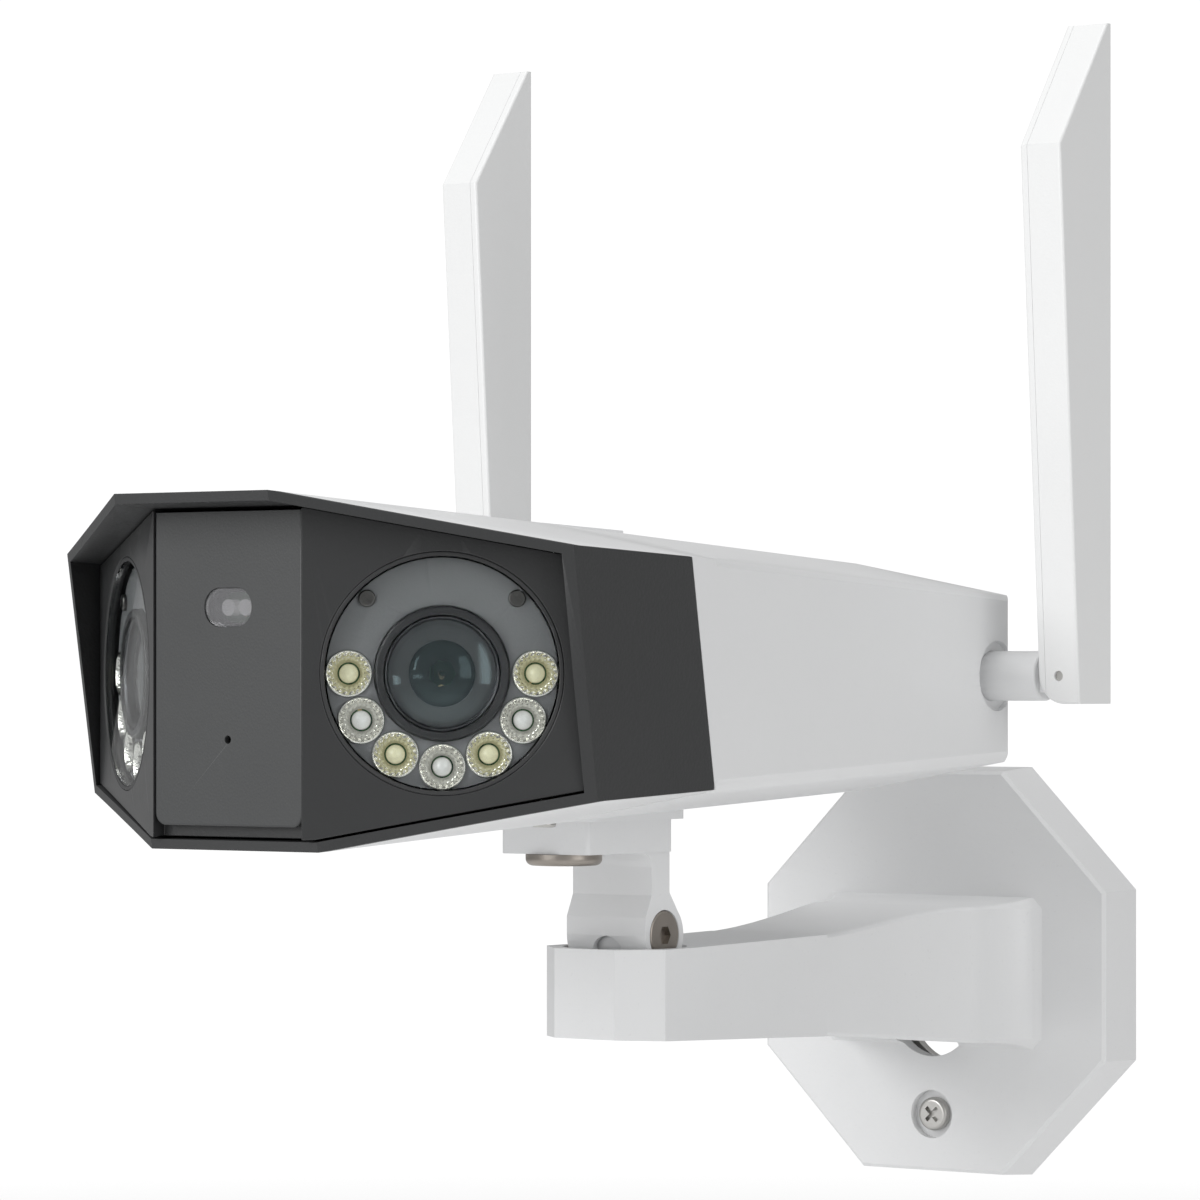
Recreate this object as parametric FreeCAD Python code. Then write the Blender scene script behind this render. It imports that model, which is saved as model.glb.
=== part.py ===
"""Twin-lens outdoor security camera on a wall bracket, with two folding blade antennas.

Everything is drawn from the middle of the centre panel's front face: +X is on the right of someone
who faces the lenses, +Y runs back towards the wall and +Z is up. save() then moves each piece so
that the origin is the centre of the wall plate's rear face.
"""
import FreeCAD, Part
import math
import os

V = FreeCAD.Vector
X_AXIS, Y_AXIS, Z_AXIS = V(1, 0, 0), V(0, 1, 0), V(0, 0, 1)

# ---- overall places ----
WALL_Y = 214.4            # the wall behind the front panel
PLATE_Z = -55.2           # centre of the wall plate below the camera's middle
SLIP = 0.05               # running clearance of a pin or shaft, radial
GAP = 0.1                 # gap between pieces that sit side by side

# ---- camera shell: corners of the right half of each cross-section, ridge to ridge ----
HOOD_Y, JOIN_Y, REAR_Y = -12.0, 61.0, 157.0
HOOD_FRONT = [(15.4, 28.35), (52.7, 21.0), (52.7, -20.9), (16.8, -28.1)]
HOOD_BACK = [(16.0, 24.75), (50.2, 18.4), (50.2, -18.3), (16.8, -24.35)]
SHELL_FRONT = [(16.0, 24.75), (49.1, 18.6), (50.2, 17.4), (50.2, -16.8), (48.1, -18.9), (16.8, -24.35)]
SHELL_BACK = [(14.0, 19.8), (45.8, 13.8), (46.9, 12.7), (46.9, -13.2), (45.0, -15.2), (14.5, -20.6)]
CORE_BACK = [(14.0, 19.8), (46.9, 13.3), (46.9, -14.3), (14.5, -20.6)]    # without the edge bevels
SKIN, LINER, SHELL_WALL, REAR_WALL = 0.8, 1.6, 2.4, 3.0
RIM_TOP, RIM_LOW = V(15.42, -9.12, 28.2), V(16.8, 1.52, -27.42)
RIM_OUT = V(51.5, 20.52, 19.75)
LIP_DEPTH = 2.2           # how far the black lip runs back before the white skin starts
SIDE_TOP_Y, SIDE_LOW_Y = 53.9, 60.5       # rear edge of the black side panel, top and bottom
SIDE_HALF = 18.4
CORNER_R = 3.2            # rounding of the shell's rear corners
PAD_HALF, PAD_FRONT, PAD_BACK, PAD_CORNER = 10.6, 80.2, 110.4, 3.0      # seat of the foot under the shell

# ---- front panels and lens windows ----
PANEL_HALF, PANEL_TOP, PANEL_LOW, PANEL_DEPTH = 14.87, 25.5, -23.57, 2.4
FACET_TURN = 37.7         # degrees each lens facet is turned away from straight ahead
FACET = V(32.12, 12.91, 0.19)             # centre of a lens window on its facet
FASCIA_DEPTH, FASCIA_GAP = 2.4, 0.4       # front wall, and the groove between it and the lining
WINDOW_R = 18.84
LED_RING_R, LED_R, LENS_R = 14.45, 3.6, 10.45
LED_ANGLES = [180, 210, 240, 270, 300, 330, 360]
SENSOR_Z, SENSOR_HALF, SENSOR_R = 10.5, 1.75, 3.05
MIC_Z, MIC_R = -10.1, 0.65

# ---- antennas ----
STEM_Y, STEM_Z, STEM_R, STEM_END = 151.0, -0.2, 4.3, 57.2
PIN_X, PIN_R, KNUCKLE_R, KNUCKLE_HALF = 62.2, 0.9, 2.8, 2.6
CLIP_X, CLIP_R, GROOVE_R, CLIP_THICK = 44.2, 4.95, 3.4, 1.0      # snap ring that keeps the stem in the shell
BLADE_IN, BLADE_OUT, SEAM_X = 58.2, 66.2, 59.6
BLADE_LOW, BLADE_TOP, BLADE_SHOULDER = -5.0, 112.1, 90.3
BLADE_BACK, BLADE_FRONT_TOP, BLADE_FRONT_LOW = 157.5, 140.3, 146.7
AERIAL = ((61.4, 62.2), 149.0, 154.7, 11, 96)       # its two faces, then front, back, low and top

# ---- bracket ----
PIVOT_Y, PIVOT_Z = 106.0, -44.5           # tilt axis, along X
FOOT_Y, FOOT_HALF, FOOT_FRONT, FOOT_BACK = 88.3, 9.15, 82.7, 107.3
PAD_Z, FOOT_LOW = -24.6, -30.2
LEG_HALF, LEG_FRONT, LEG_BACK = 8.3, 102.2, 107.5
HUB_R, SLOT_HALF, TONGUE_R, NECK_R = 5.6, 3.2, 4.3, 2.6
BOLT_R, BOLT_HEAD_R = 2.0, 4.2
TURRET_R, TURRET_TOP, TURRET_LOW = 10.6, -50.7, -58.0
ARM_HALF, ARM_TIP, TIP_CHAMFER = 12.5, 94.1, 6.2
PLATE_FACE, PLATE_APOTHEM, PLATE_FLAT = 204.1, 37.3, 15.4
CABLE_Z, CABLE_R = -62.0, 9.2
LOCK_Z = -82.0
WALL_HOLE, WALL_HOLE_R = 22.0, 2.25       # half the wall screw spacing, and the hole
PLATE_THICK = 2.0


# ---------------------------------------------------------------- helpers
def box(x, y, z):
    """A box from its (low, high) pairs along X, Y and Z."""
    return Part.makeBox(x[1] - x[0], y[1] - y[0], z[1] - z[0], V(x[0], y[0], z[0]))


def rod(radius, start, end):
    """A cylinder from one point to another."""
    run = end - start
    return Part.makeCylinder(radius, run.Length, start, run)


def tube(outer, inner, start, end):
    """A round sleeve from one point to another."""
    return rod(outer, start, end).cut(rod(inner, start, end))


def prism(points, run):
    """A flat outline of points pushed along a vector."""
    return Part.Face(Part.makePolygon(points + points[:1])).extrude(run)


def mirror(shape):
    """The same piece on the other side of the camera."""
    return shape.mirror(V(0, 0, 0), X_AXIS)


def both(shapes):
    """Pieces on the right together with their mirror images on the left, as separate solids."""
    solids = [solid for shape in shapes for solid in shape.Solids]
    return Part.makeCompound(solids + [mirror(solid) for solid in solids])


def fuse(first, *rest):
    """One solid from several that touch."""
    return first.multiFuse(list(rest)).removeSplitter()


def rounded(shape, radius, wanted):
    """Round the edges whose middle point passes the test."""
    edges = [e for e in shape.Edges if wanted(e.BoundBox.Center, e)]
    return shape.makeFillet(radius, edges)


def in_front(point, normal):
    """All the space on the side of a plane that the normal points to."""
    size = 500
    block = Part.makeBox(size, size, size, V(-size / 2, -size / 2, 0))
    block.Placement = FreeCAD.Placement(point, FreeCAD.Rotation(Z_AXIS, normal))
    return block


def closed(half):
    """A symmetric outline from the corners of its right half."""
    return half + [(-x, z) for x, z in reversed(half)]


def inset(outline, depth):
    """Move every side of a closed clockwise outline inwards by depth."""
    moved = []
    for i, corner in enumerate(outline):
        before, after = outline[i - 1], outline[(i + 1) % len(outline)]
        a = (corner[0] - before[0], corner[1] - before[1])
        b = (after[0] - corner[0], after[1] - corner[1])
        na = (a[1] / math.hypot(*a), -a[0] / math.hypot(*a))
        nb = (b[1] / math.hypot(*b), -b[0] / math.hypot(*b))
        share = depth / (1 + na[0] * nb[0] + na[1] * nb[1])
        moved.append((corner[0] + share * (na[0] + nb[0]), corner[1] + share * (na[1] + nb[1])))
    return moved


def taper(front, y_front, back, y_back, depth=0.0):
    """A solid between two outlines across the camera, both moved in by depth."""
    wires = []
    for half, y in ((front, y_front), (back, y_back)):
        corners = [V(x, y, z) for x, z in inset(closed(half), depth)]
        wires.append(Part.makePolygon(corners + corners[:1]))
    return Part.makeLoft(wires, True, True)


def save(node, shape):
    """Write one piece in the wall plate's frame."""
    piece = shape.copy()
    piece.translate(V(0, -WALL_Y, -PLATE_Z))
    if not piece.isValid() or not piece.Solids:
        raise ValueError(node + " is not a valid solid")
    if len(piece.Solids) == 1:
        piece = piece.Solids[0]
    piece.exportStep("parts/" + node + ".step")


# ---------------------------------------------------------------- camera shell
def behind_rim(shape, setback):
    """Trim a shape to the bow-fronted rim, moved back by setback."""
    left_top = V(-RIM_TOP.x, RIM_TOP.y, RIM_TOP.z)
    middle = (RIM_LOW - RIM_TOP).cross(left_top - RIM_TOP).normalize()
    if middle.y > 0:
        middle = middle * -1
    right = (RIM_LOW - RIM_TOP).cross(RIM_OUT - RIM_TOP).normalize()
    if right.y > 0:
        right = right * -1
    left = V(-right.x, right.y, right.z)
    for corner, normal in ((RIM_TOP, middle), (RIM_TOP, right), (left_top, left)):
        shape = shape.cut(in_front(corner - normal * setback, normal))
    return shape


def hood(depth=0.0, setback=0.0):
    """The hood's outer form, moved in by depth and its rim back by setback."""
    return behind_rim(taper(HOOD_FRONT, HOOD_Y, HOOD_BACK, JOIN_Y, depth), setback)


def core(depth):
    """The rear shell's form without its edge bevels, moved in by depth."""
    return taper(HOOD_BACK, JOIN_Y, CORE_BACK, REAR_Y, depth)


def side_zone(margin):
    """The region of the black side panel on the right, its outline larger by margin."""
    lean = V(0, SIDE_TOP_Y - SIDE_LOW_Y, 2 * SIDE_HALF).normalize()
    across = lean.cross(X_AXIS)
    if across.y < 0:
        across = across * -1
    low_x = HOOD_FRONT[1][0] - SKIN - margin
    slope = (HOOD_BACK[1][0] - HOOD_FRONT[1][0]) / (JOIN_Y - HOOD_Y)
    tall = SIDE_HALF + 3.0 + margin
    back = SIDE_LOW_Y + 1.0
    inner = [V(low_x, HOOD_Y, 0), V(low_x + slope * (back - HOOD_Y), back, 0),
             V(60, back, 0), V(60, HOOD_Y, 0)]
    zone = prism([p - V(0, 0, tall) for p in inner], V(0, 0, 2 * tall))
    edge = V(0, SIDE_TOP_Y + margin, SIDE_HALF)
    zone = zone.cut(in_front(edge, across))
    for z_front, z_back, up in ((21.0, 18.4, 1), (-20.9, -18.3, -1)):
        rise = V(0, JOIN_Y - HOOD_Y, z_back - z_front).cross(X_AXIS).normalize()
        if rise.z * up < 0:
            rise = rise * -1
        zone = zone.cut(in_front(V(0, HOOD_Y, z_front) + rise * margin, rise))
    return zone


def front_shroud():
    """Black lip, hood lining and side panels."""
    liner = hood(SKIN + GAP / 2, 0.0)
    lip = hood().cut(hood(0.0, LIP_DEPTH))
    lining = fuse(liner, lip)
    for zone in (side_zone(0.0), mirror(side_zone(0.0))):
        lining = lining.fuse(hood().common(zone))
    hollow = taper(HOOD_FRONT, HOOD_Y, HOOD_BACK, JOIN_Y, LINER)
    lining = lining.removeSplitter().cut(hollow)
    return lining.cut(box((-70, 70), (JOIN_Y - 0.7, 90), (-50, 50)))


def housing():
    """White shell: thin skins over and under the hood, then the full housing behind."""
    skin = hood(0.0, LIP_DEPTH + GAP).cut(taper(HOOD_FRONT, HOOD_Y, HOOD_BACK, JOIN_Y, SKIN))
    for zone in (side_zone(GAP), mirror(side_zone(GAP))):
        skin = skin.cut(zone)
    shell = taper(SHELL_FRONT, JOIN_Y, SHELL_BACK, REAR_Y)
    shell = rounded(shell, CORNER_R, lambda c, e: abs(c.y - REAR_Y) < 0.1 and abs(c.x) > 46.5)
    inside = core(SHELL_WALL).common(box((-60, 60), (JOIN_Y - 1, REAR_Y - REAR_WALL), (-40, 40)))
    shell = shell.cut(inside)
    pad = box((-PAD_HALF, PAD_HALF), (PAD_FRONT, PAD_BACK), (PAD_Z, -20.0))
    pad = rounded(pad, PAD_CORNER, lambda c, e: abs(abs(c.x) - PAD_HALF) < 0.1 and e.Length < 6)
    shell = fuse(shell, pad.cut(inside))
    roof = prism([V(-12, 66, 0), V(12, 66, 0), V(15, 84.6, 0), V(-15, 84.6, 0)], V(0, 0, 40))
    roof = roof.common(taper(SHELL_FRONT, JOIN_Y, SHELL_BACK, REAR_Y, -0.5)).cut(inside)
    shell = fuse(shell, roof)
    for post in housing_posts():
        shell = shell.fuse(post)
    return cut_all(shell.fuse(skin), housing_cuts())


POSTS = [(x, z) for x in (-40.5, 40.5) for z in (-10.5, 10.5)]
CHASSIS_Y, CHASSIS_THICK = 66.0, 2.0
POST_R, POST_END, POST_WEB, POST_REACH = 3.0, 14.0, 1.2, 8.0      # posts behind the chassis plate
POST_SCREW_R, POST_HOLE_R, POST_GAP = 1.05, 1.1, 2.1


def housing_posts():
    """Screw posts inside the shell that carry the chassis plate."""
    posts = []
    for x, z in POSTS:
        front, back = CHASSIS_Y + POST_GAP, CHASSIS_Y + POST_END
        outer = x + math.copysign(POST_REACH, x)
        web = box(sorted((x, outer)), (front, back), (z - POST_WEB, z + POST_WEB))
        post = rod(POST_R, V(x, front, z), V(x, back, z))
        post = post.cut(rod(POST_HOLE_R, V(x, CHASSIS_Y, z), V(x, back - POST_R, z)))
        posts.append(fuse(post, web.cut(rod(POST_R - 1, V(x, CHASSIS_Y, z), V(x, back + 1, z)))))
    return posts


CARD_Y, CARD_HALF_X, CARD_HALF_Y, CARD_PLATE = 68.6, 13.0, 6.0, 1.6
CARD_SCREW_X = 10.4
SPEAKER_Y, SPEAKER_R = 131.0, 12.0
BACK_HALF_X, BACK_HALF_Z, BACK_PLATE = 34.0, 9.5, 1.6
BACK_SCREW_X = 30.0
BACK_PROUD = 0.4          # how far the rear cover stands proud of the shell
COVER_SCREW_R, COVER_SCREW, COVER_HEAD_R, COVER_HEAD_H = 1.0, 6.0, 2.0, 1.1
GLAND_R, CABLE_BORE_R = 6.0, 3.0


def shell_low(y):
    """Height of the shell's flat underside at a distance y."""
    front, back = SHELL_FRONT[-1][1], SHELL_BACK[-1][1]
    return front + (back - front) * (y - JOIN_Y) / (REAR_Y - JOIN_Y)


def housing_cuts():
    """Openings in the shell: stems, mounting insert, card bay, speaker slots and rear opening."""
    cuts = []
    for side in (-1, 1):
        cuts.append(rod(STEM_R + SLIP, V(side * 40, STEM_Y, STEM_Z), V(side * 60, STEM_Y, STEM_Z)))
        clip_end = V(side * (CLIP_X + SLIP), STEM_Y, STEM_Z)
        cuts.append(rod(CLIP_R + SLIP, V(side * 40, STEM_Y, STEM_Z), clip_end))
        cuts.append(rod(6.1, V(side * 46.0, STEM_Y, STEM_Z), V(side * 60, STEM_Y, STEM_Z)))
    cuts.append(rod(4.0, V(0, FOOT_Y, PAD_Z - 1), V(0, FOOT_Y, -18)))
    low = shell_low(CARD_Y)
    reach = CARD_HALF_Y + GAP
    cuts.append(box((-CARD_HALF_X - GAP, CARD_HALF_X + GAP), (CARD_Y - reach, CARD_Y + reach),
                    (low - 3, low + CARD_PLATE)))
    cuts.append(box((-8, 8), (CARD_Y - 3.5, CARD_Y + 3.5), (low - 1, low + 6)))
    for i in range(-3, 4):
        slot = box((-7, 7), (SPEAKER_Y + 2.6 * i - 0.6, SPEAKER_Y + 2.6 * i + 0.6), (-30, -15))
        cuts.append(slot)
    cuts.append(box((-BACK_HALF_X - GAP, BACK_HALF_X + GAP), (REAR_Y - BACK_PLATE, REAR_Y + 5),
                    (-BACK_HALF_Z - GAP, BACK_HALF_Z + GAP)))
    cuts.append(box((-27, 27), (REAR_Y - 5, REAR_Y), (-6.5, 6.5)))
    for side in (-1, 1):
        rear, card = V(side * BACK_SCREW_X, REAR_Y, 0), V(side * CARD_SCREW_X, CARD_Y, low)
        cuts.append(rod(COVER_SCREW_R + SLIP, rear - Y_AXIS * 8, rear))
        cuts.append(rod(COVER_SCREW_R + SLIP, card, card + Z_AXIS * 6))
    return cuts


def front_gasket():
    """Soft ring between the black lining and the shell."""
    ring = taper(HOOD_BACK, JOIN_Y - 0.6, HOOD_BACK, JOIN_Y, SKIN + 0.3)
    return ring.cut(taper(HOOD_BACK, JOIN_Y - 1, HOOD_BACK, JOIN_Y + 1, SHELL_WALL + 0.2))


def chassis():
    """Plate across the shell that carries the electronics."""
    plate = core(SHELL_WALL + 0.5).common(box((-60, 60), (CHASSIS_Y, CHASSIS_Y + CHASSIS_THICK), (-40, 40)))
    plate = plate.cut(box((-30, 30), (CHASSIS_Y - 1, CHASSIS_Y + 3), (-4, 12)))
    plate = plate.cut(box((-15, 15), (CHASSIS_Y - 1, CHASSIS_Y + 3), (-30, -13)))
    for x, z in POSTS:
        plate = plate.cut(rod(1.6, V(x, CHASSIS_Y - 1, z), V(x, CHASSIS_Y + 3, z)))
    return plate


def cap_screw(radius, head, tip, head_r, head_h):
    """Pan-head cross-recess screw from the top of its head to its tip."""
    run = (tip - head).normalize()
    neck = head + run * head_h
    screw = fuse(rod(head_r, head, neck), rod(radius, neck, tip))
    screw = rounded(screw, head_h * 0.45, lambda c, e: (c - head).Length < 0.01)
    for turn in (0, 90):
        low = V(-head_r * 0.55, -head_r * 0.13, -head_h * 0.6)
        bar = Part.makeBox(head_r * 1.1, head_r * 0.26, head_h * 1.2, low)
        bar.rotate(V(0, 0, 0), Z_AXIS, turn + 45)
        bar.Placement = FreeCAD.Placement(head, FreeCAD.Rotation(Z_AXIS, run)).multiply(bar.Placement)
        screw = screw.cut(bar)
    return screw


def chassis_screws():
    """Four screws through the chassis into the posts."""
    head_r, head_h, reach = 2.4, 1.6, 9.0
    screws = [cap_screw(POST_SCREW_R, V(x, CHASSIS_Y - head_h, z), V(x, CHASSIS_Y + reach, z), head_r, head_h)
              for x, z in POSTS]
    return Part.makeCompound(screws)


# ---------------------------------------------------------------- front panels
def facet_normal():
    """Outward direction of the right lens facet."""
    turn = math.radians(FACET_TURN)
    return V(math.sin(turn), -math.cos(turn), 0)


def on_facet(shape):
    """Move a piece drawn about the origin, with +Z outwards, onto the right lens window."""
    turn = math.radians(FACET_TURN)
    across = V(math.cos(turn), math.sin(turn), 0)
    matrix = FreeCAD.Matrix(across.x, 0, facet_normal().x, FACET.x,
                            across.y, 0, facet_normal().y, FACET.y,
                            0, 1, 0, FACET.z, 0, 0, 0, 1)
    return placed(shape, matrix)


def placed(shape, matrix):
    """A copy of a shape moved by a rigid matrix."""
    moved = shape.copy()
    moved.Placement = FreeCAD.Placement(matrix).multiply(moved.Placement)
    return moved


def disc(radius, low, high, hole=0.0):
    """A disc about the window axis between two depths, with an optional hole."""
    shape = rod(radius, V(0, 0, low), V(0, 0, high))
    return shape.cut(rod(hole, V(0, 0, low), V(0, 0, high))) if hole else shape


def turned(profile):
    """A solid of revolution about the window axis from (radius, height) corners."""
    points = [V(r, 0, h) for r, h in profile]
    return Part.Face(Part.makePolygon(points + points[:1])).revolve(V(0, 0, 0), Z_AXIS, 360)


def ring_points(angles, radius):
    """Places on a circle about the window axis."""
    return [V(radius * math.cos(math.radians(a)), radius * math.sin(math.radians(a)), 0) for a in angles]


def behind_facets(shape, setback):
    """Trim a shape to the two lens facets, moved back by setback."""
    right = facet_normal()
    left = V(-right.x, right.y, 0)
    shape = shape.cut(in_front(FACET - right * setback, right))
    return shape.cut(in_front(V(-FACET.x, FACET.y, 0) - left * setback, left))


def fascia():
    """Black front wall: two lens facets and the seat of the centre panel."""
    room = taper(HOOD_FRONT, HOOD_Y, HOOD_BACK, JOIN_Y, LINER + FASCIA_GAP)
    room = room.cut(box((-70, 70), (40, 80), (-40, 40)))
    wall = behind_facets(room, 0.0).cut(behind_facets(room, FASCIA_DEPTH))
    seat = PANEL_HALF + GAP
    wall = wall.cut(box((-seat, seat), (-30, PANEL_DEPTH), (-40, 40)))
    back = room.common(box((-seat - 1, seat + 1), (PANEL_DEPTH, PANEL_DEPTH + FASCIA_DEPTH), (-40, 40)))
    wall = wall.fuse(behind_facets(back, 0.0)).removeSplitter()
    window = on_facet(disc(WINDOW_R, -20, 20))
    wall = wall.cut(window).cut(mirror(window))
    wall = wall.cut(rod(0.9, V(0, 0, MIC_Z), V(0, 10, MIC_Z)))
    return wall.cut(sensor_slot(SENSOR_R - 0.6, 0, 10))


def sensor_slot(radius, front, back):
    """Long round-ended hole of the sensor window in the centre panel."""
    ends = [rod(radius, V(x, front, SENSOR_Z), V(x, back, SENSOR_Z)) for x in (-SENSOR_HALF, SENSOR_HALF)]
    web = box((-SENSOR_HALF, SENSOR_HALF), (front, back), (SENSOR_Z - radius, SENSOR_Z + radius))
    return fuse(web, *ends)


def centre_panel():
    """Grey panel between the lenses with the sensor window and the microphone hole."""
    panel = box((-PANEL_HALF, PANEL_HALF), (0, PANEL_DEPTH), (PANEL_LOW, PANEL_TOP))
    panel = rounded(panel, 2.0, lambda c, e: c.z < PANEL_LOW + 0.1 and abs(c.x) > 14)
    panel = panel.cut(in_front(V(0, 0, 25.4), V(0, 0.05, 1)))
    panel = panel.cut(sensor_slot(SENSOR_R, -1, PANEL_DEPTH + 1))
    panel = panel.cut(rod(MIC_R, V(0, -1, MIC_Z), V(0, 5, MIC_Z)))
    return rounded(panel, 0.35, lambda c, e: abs(c.y) < 0.01 and e.Length > 8 and abs(c.x) > 14)


def sensor_window():
    """Smoked window over the light and motion sensor."""
    return sensor_slot(SENSOR_R - SLIP, 0.35, PANEL_DEPTH - 0.1)


def sensor_board():
    """Small board behind the fascia with the light sensor and the microphone."""
    front = PANEL_DEPTH + FASCIA_DEPTH + 0.2
    board = box((-9, 9), (front, front + 1.2), (-16, 16))
    for z in (-14, 14):
        board = board.cut(rod(1.1, V(0, front - 1, z), V(0, front + 3, z)))
    return board


def microphone():
    """Microphone capsule on the sensor board."""
    back = PANEL_DEPTH + FASCIA_DEPTH + 0.2
    return rod(1.6, V(0, back - 0.15, MIC_Z), V(0, back, MIC_Z)).fuse(
        rod(0.8, V(0, PANEL_DEPTH + 0.2, MIC_Z), V(0, back - 0.15, MIC_Z))).removeSplitter()


def light_sensor():
    """Pair of sensor dies behind the smoked window."""
    back = PANEL_DEPTH + FASCIA_DEPTH + 0.2
    dies = [rod(1.3, V(x, PANEL_DEPTH + 0.6, SENSOR_Z), V(x, back, SENSOR_Z)) for x in (-1.7, 1.7)]
    return Part.makeCompound(dies)


# ---------------------------------------------------------------- lens modules
def window_ring():
    """Thin black frame of the round window."""
    return disc(WINDOW_R - SLIP, -FASCIA_DEPTH, 0.0, WINDOW_R - 0.7)


def window_glass():
    """Clear round window."""
    return disc(WINDOW_R - 0.7 - SLIP, -1.3, -0.15)


PLATE_TOP, PLATE_LOW, BOARD_TOP, BOARD_LOW = -3.0, -4.0, -6.2, -7.6
RING_SCREW_R = 16.4
CHIP_R, DOME_LOW = 1.5, -5.2


def ring_plate():
    """Grey plate round the lens with a hole for each light."""
    plate = disc(WINDOW_R - 0.9, PLATE_LOW, PLATE_TOP, LENS_R + 0.1)
    for place in ring_points(LED_ANGLES, LED_RING_R):
        plate = plate.cut(rod(LED_R + SLIP, place + V(0, 0, -6), place + V(0, 0, 0)))
    for place in ring_points((45, 135), RING_SCREW_R):
        plate = plate.cut(rod(0.8, place + V(0, 0, -6), place + V(0, 0, 0)))
    return plate


def ring_screws():
    """Two small screws of the ring plate."""
    heads = []
    for place in ring_points((45, 135), RING_SCREW_R):
        top = place + V(0, 0, PLATE_TOP + 0.7)
        heads.append(on_facet(cap_screw(0.7, top, place + V(0, 0, BOARD_LOW), 1.35, 0.7)))
    return both(heads)


def led_reflectors():
    """Cone reflector round each light."""
    cup = turned([(LED_R, BOARD_TOP), (LED_R, PLATE_TOP + 0.4), (3.3, PLATE_TOP + 0.4), (2.45, -4.0),
                  (2.25, -4.0), (1.7, -5.6), (1.7, BOARD_TOP)])
    cups = [on_facet(cup.translated(place)) for place in ring_points(LED_ANGLES, LED_RING_R)]
    return both(cups)


def lights(angles):
    """Domed light chips at the given places of both rings."""
    chips = []
    for place in ring_points(angles, LED_RING_R):
        base = rod(CHIP_R, place + V(0, 0, BOARD_TOP), place + V(0, 0, DOME_LOW))
        dome = Part.makeSphere(CHIP_R, place + V(0, 0, DOME_LOW)).common(
            rod(CHIP_R, place + V(0, 0, DOME_LOW), place + V(0, 0, 0)))
        chips.append(on_facet(fuse(base, dome)))
    return both(chips)


def led_board():
    """Ring board that carries the lights."""
    board = disc(WINDOW_R - 0.9, BOARD_LOW, BOARD_TOP, LENS_R + 0.1)
    for place in ring_points((45, 135), RING_SCREW_R):
        board = board.cut(rod(0.75, place + V(0, 0, -9), place + V(0, 0, 0)))
    return board


def lens_barrel():
    """Black lens barrel with its stepped front."""
    return turned([(LENS_R, -16.0), (LENS_R, -2.0), (10.1, -1.7), (9.1, -1.7), (9.0, -2.2),
                   (9.0, -9.0), (6.6, -9.0), (6.6, -16.0)])


def lens_collar():
    """Grey retaining ring inside the barrel."""
    return turned([(8.95, -8.9), (8.95, -2.2), (8.7, -2.0), (8.35, -2.5), (8.35, -8.9)])


def lens_baffle():
    """Ribbed black cone that holds the front glass."""
    profile = [(8.3, -8.9), (8.3, -4.5)]
    step, rise = 0.5, 0.38
    r, h = 7.7, -4.5
    for _ in range(5):
        profile += [(r, h), (r, h - rise)]
        r, h = r - step, h - rise
    profile += [(5.2, h), (5.2, -8.9)]
    return turned(profile)


def domed(radius, rise, top, low):
    """A round glass with a domed front that rises to top, and a flat back at low."""
    ball = (radius * radius + rise * rise) / (2 * rise)
    return Part.makeSphere(ball, V(0, 0, top - ball)).common(disc(radius, low, top + 1))


def lens_glass():
    """Wide front glass, hollow behind, and the smaller domed glass in the cone."""
    front = domed(8.3, 1.35, -2.35, -4.4)
    hollow = domed(7.6, 1.2, -3.05, -4.4)
    return Part.makeCompound([front.cut(hollow), domed(5.15, 1.2, -5.3, -8.6)])


def image_sensor():
    """Image sensor board behind the barrel with its chip."""
    board = box((-11, 11), (-11, 11), (-18.2, -16.6))
    chip = box((-5, 5), (-4, 4), (-16.6, -15.4))
    return fuse(board, chip)


def lens_holder():
    """Square holder between the barrel and the sensor board."""
    block = box((-10.8, 10.8), (-10.8, 10.8), (-16.5, -10.0))
    return block.cut(rod(LENS_R + 0.03, V(0, 0, -17), V(0, 0, -9)))


# ---------------------------------------------------------------- electronics in the shell
BOARD_FRONT, BOARD_BACK, BOARD_HALF, BOARD_UNDER, BOARD_FACE = 70.0, 138.0, 33.0, -2.4, -0.8
SINK_HALF, SINK_FRONT, SINK_BACK = 14, 84, 110


def main_board():
    """Main circuit board, lying flat."""
    board = box((-BOARD_HALF, BOARD_HALF), (BOARD_FRONT, BOARD_BACK), (BOARD_UNDER, BOARD_FACE))
    for x in (-29, 29):
        for y in (BOARD_FRONT + 4, BOARD_BACK - 4):
            board = board.cut(rod(1.6, V(x, y, -5), V(x, y, 2)))
    return board


def board_chips():
    """Processor, memory, power parts and sockets on the main board."""
    sizes = [((-9, 9), (88, 106), 2.0), ((-26, -14), (88, 100), 1.2), ((14, 27), (88, 99), 1.4),
             ((-22, -10), (112, 126), 5.0), ((10, 26), (116, 128), 6.0), ((-6, 6), (128, 136), 5.5),
             ((-24, -8), (74, 80), 3.0), ((8, 24), (74, 80), 3.0)]
    return Part.makeCompound([box(x, y, (BOARD_FACE, BOARD_FACE + h)) for x, y, h in sizes])


def heat_sink():
    """Finned aluminium block on the processor."""
    foot, root, top, fin = 1.3, 3.3, 11.0, 0.6
    base = box((-SINK_HALF, SINK_HALF), (SINK_FRONT, SINK_BACK), (foot, root))
    fins = [box((x - fin, x + fin), (SINK_FRONT, SINK_BACK), (root, top)) for x in range(-12, 13, 4)]
    return fuse(base, *fins)


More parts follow.
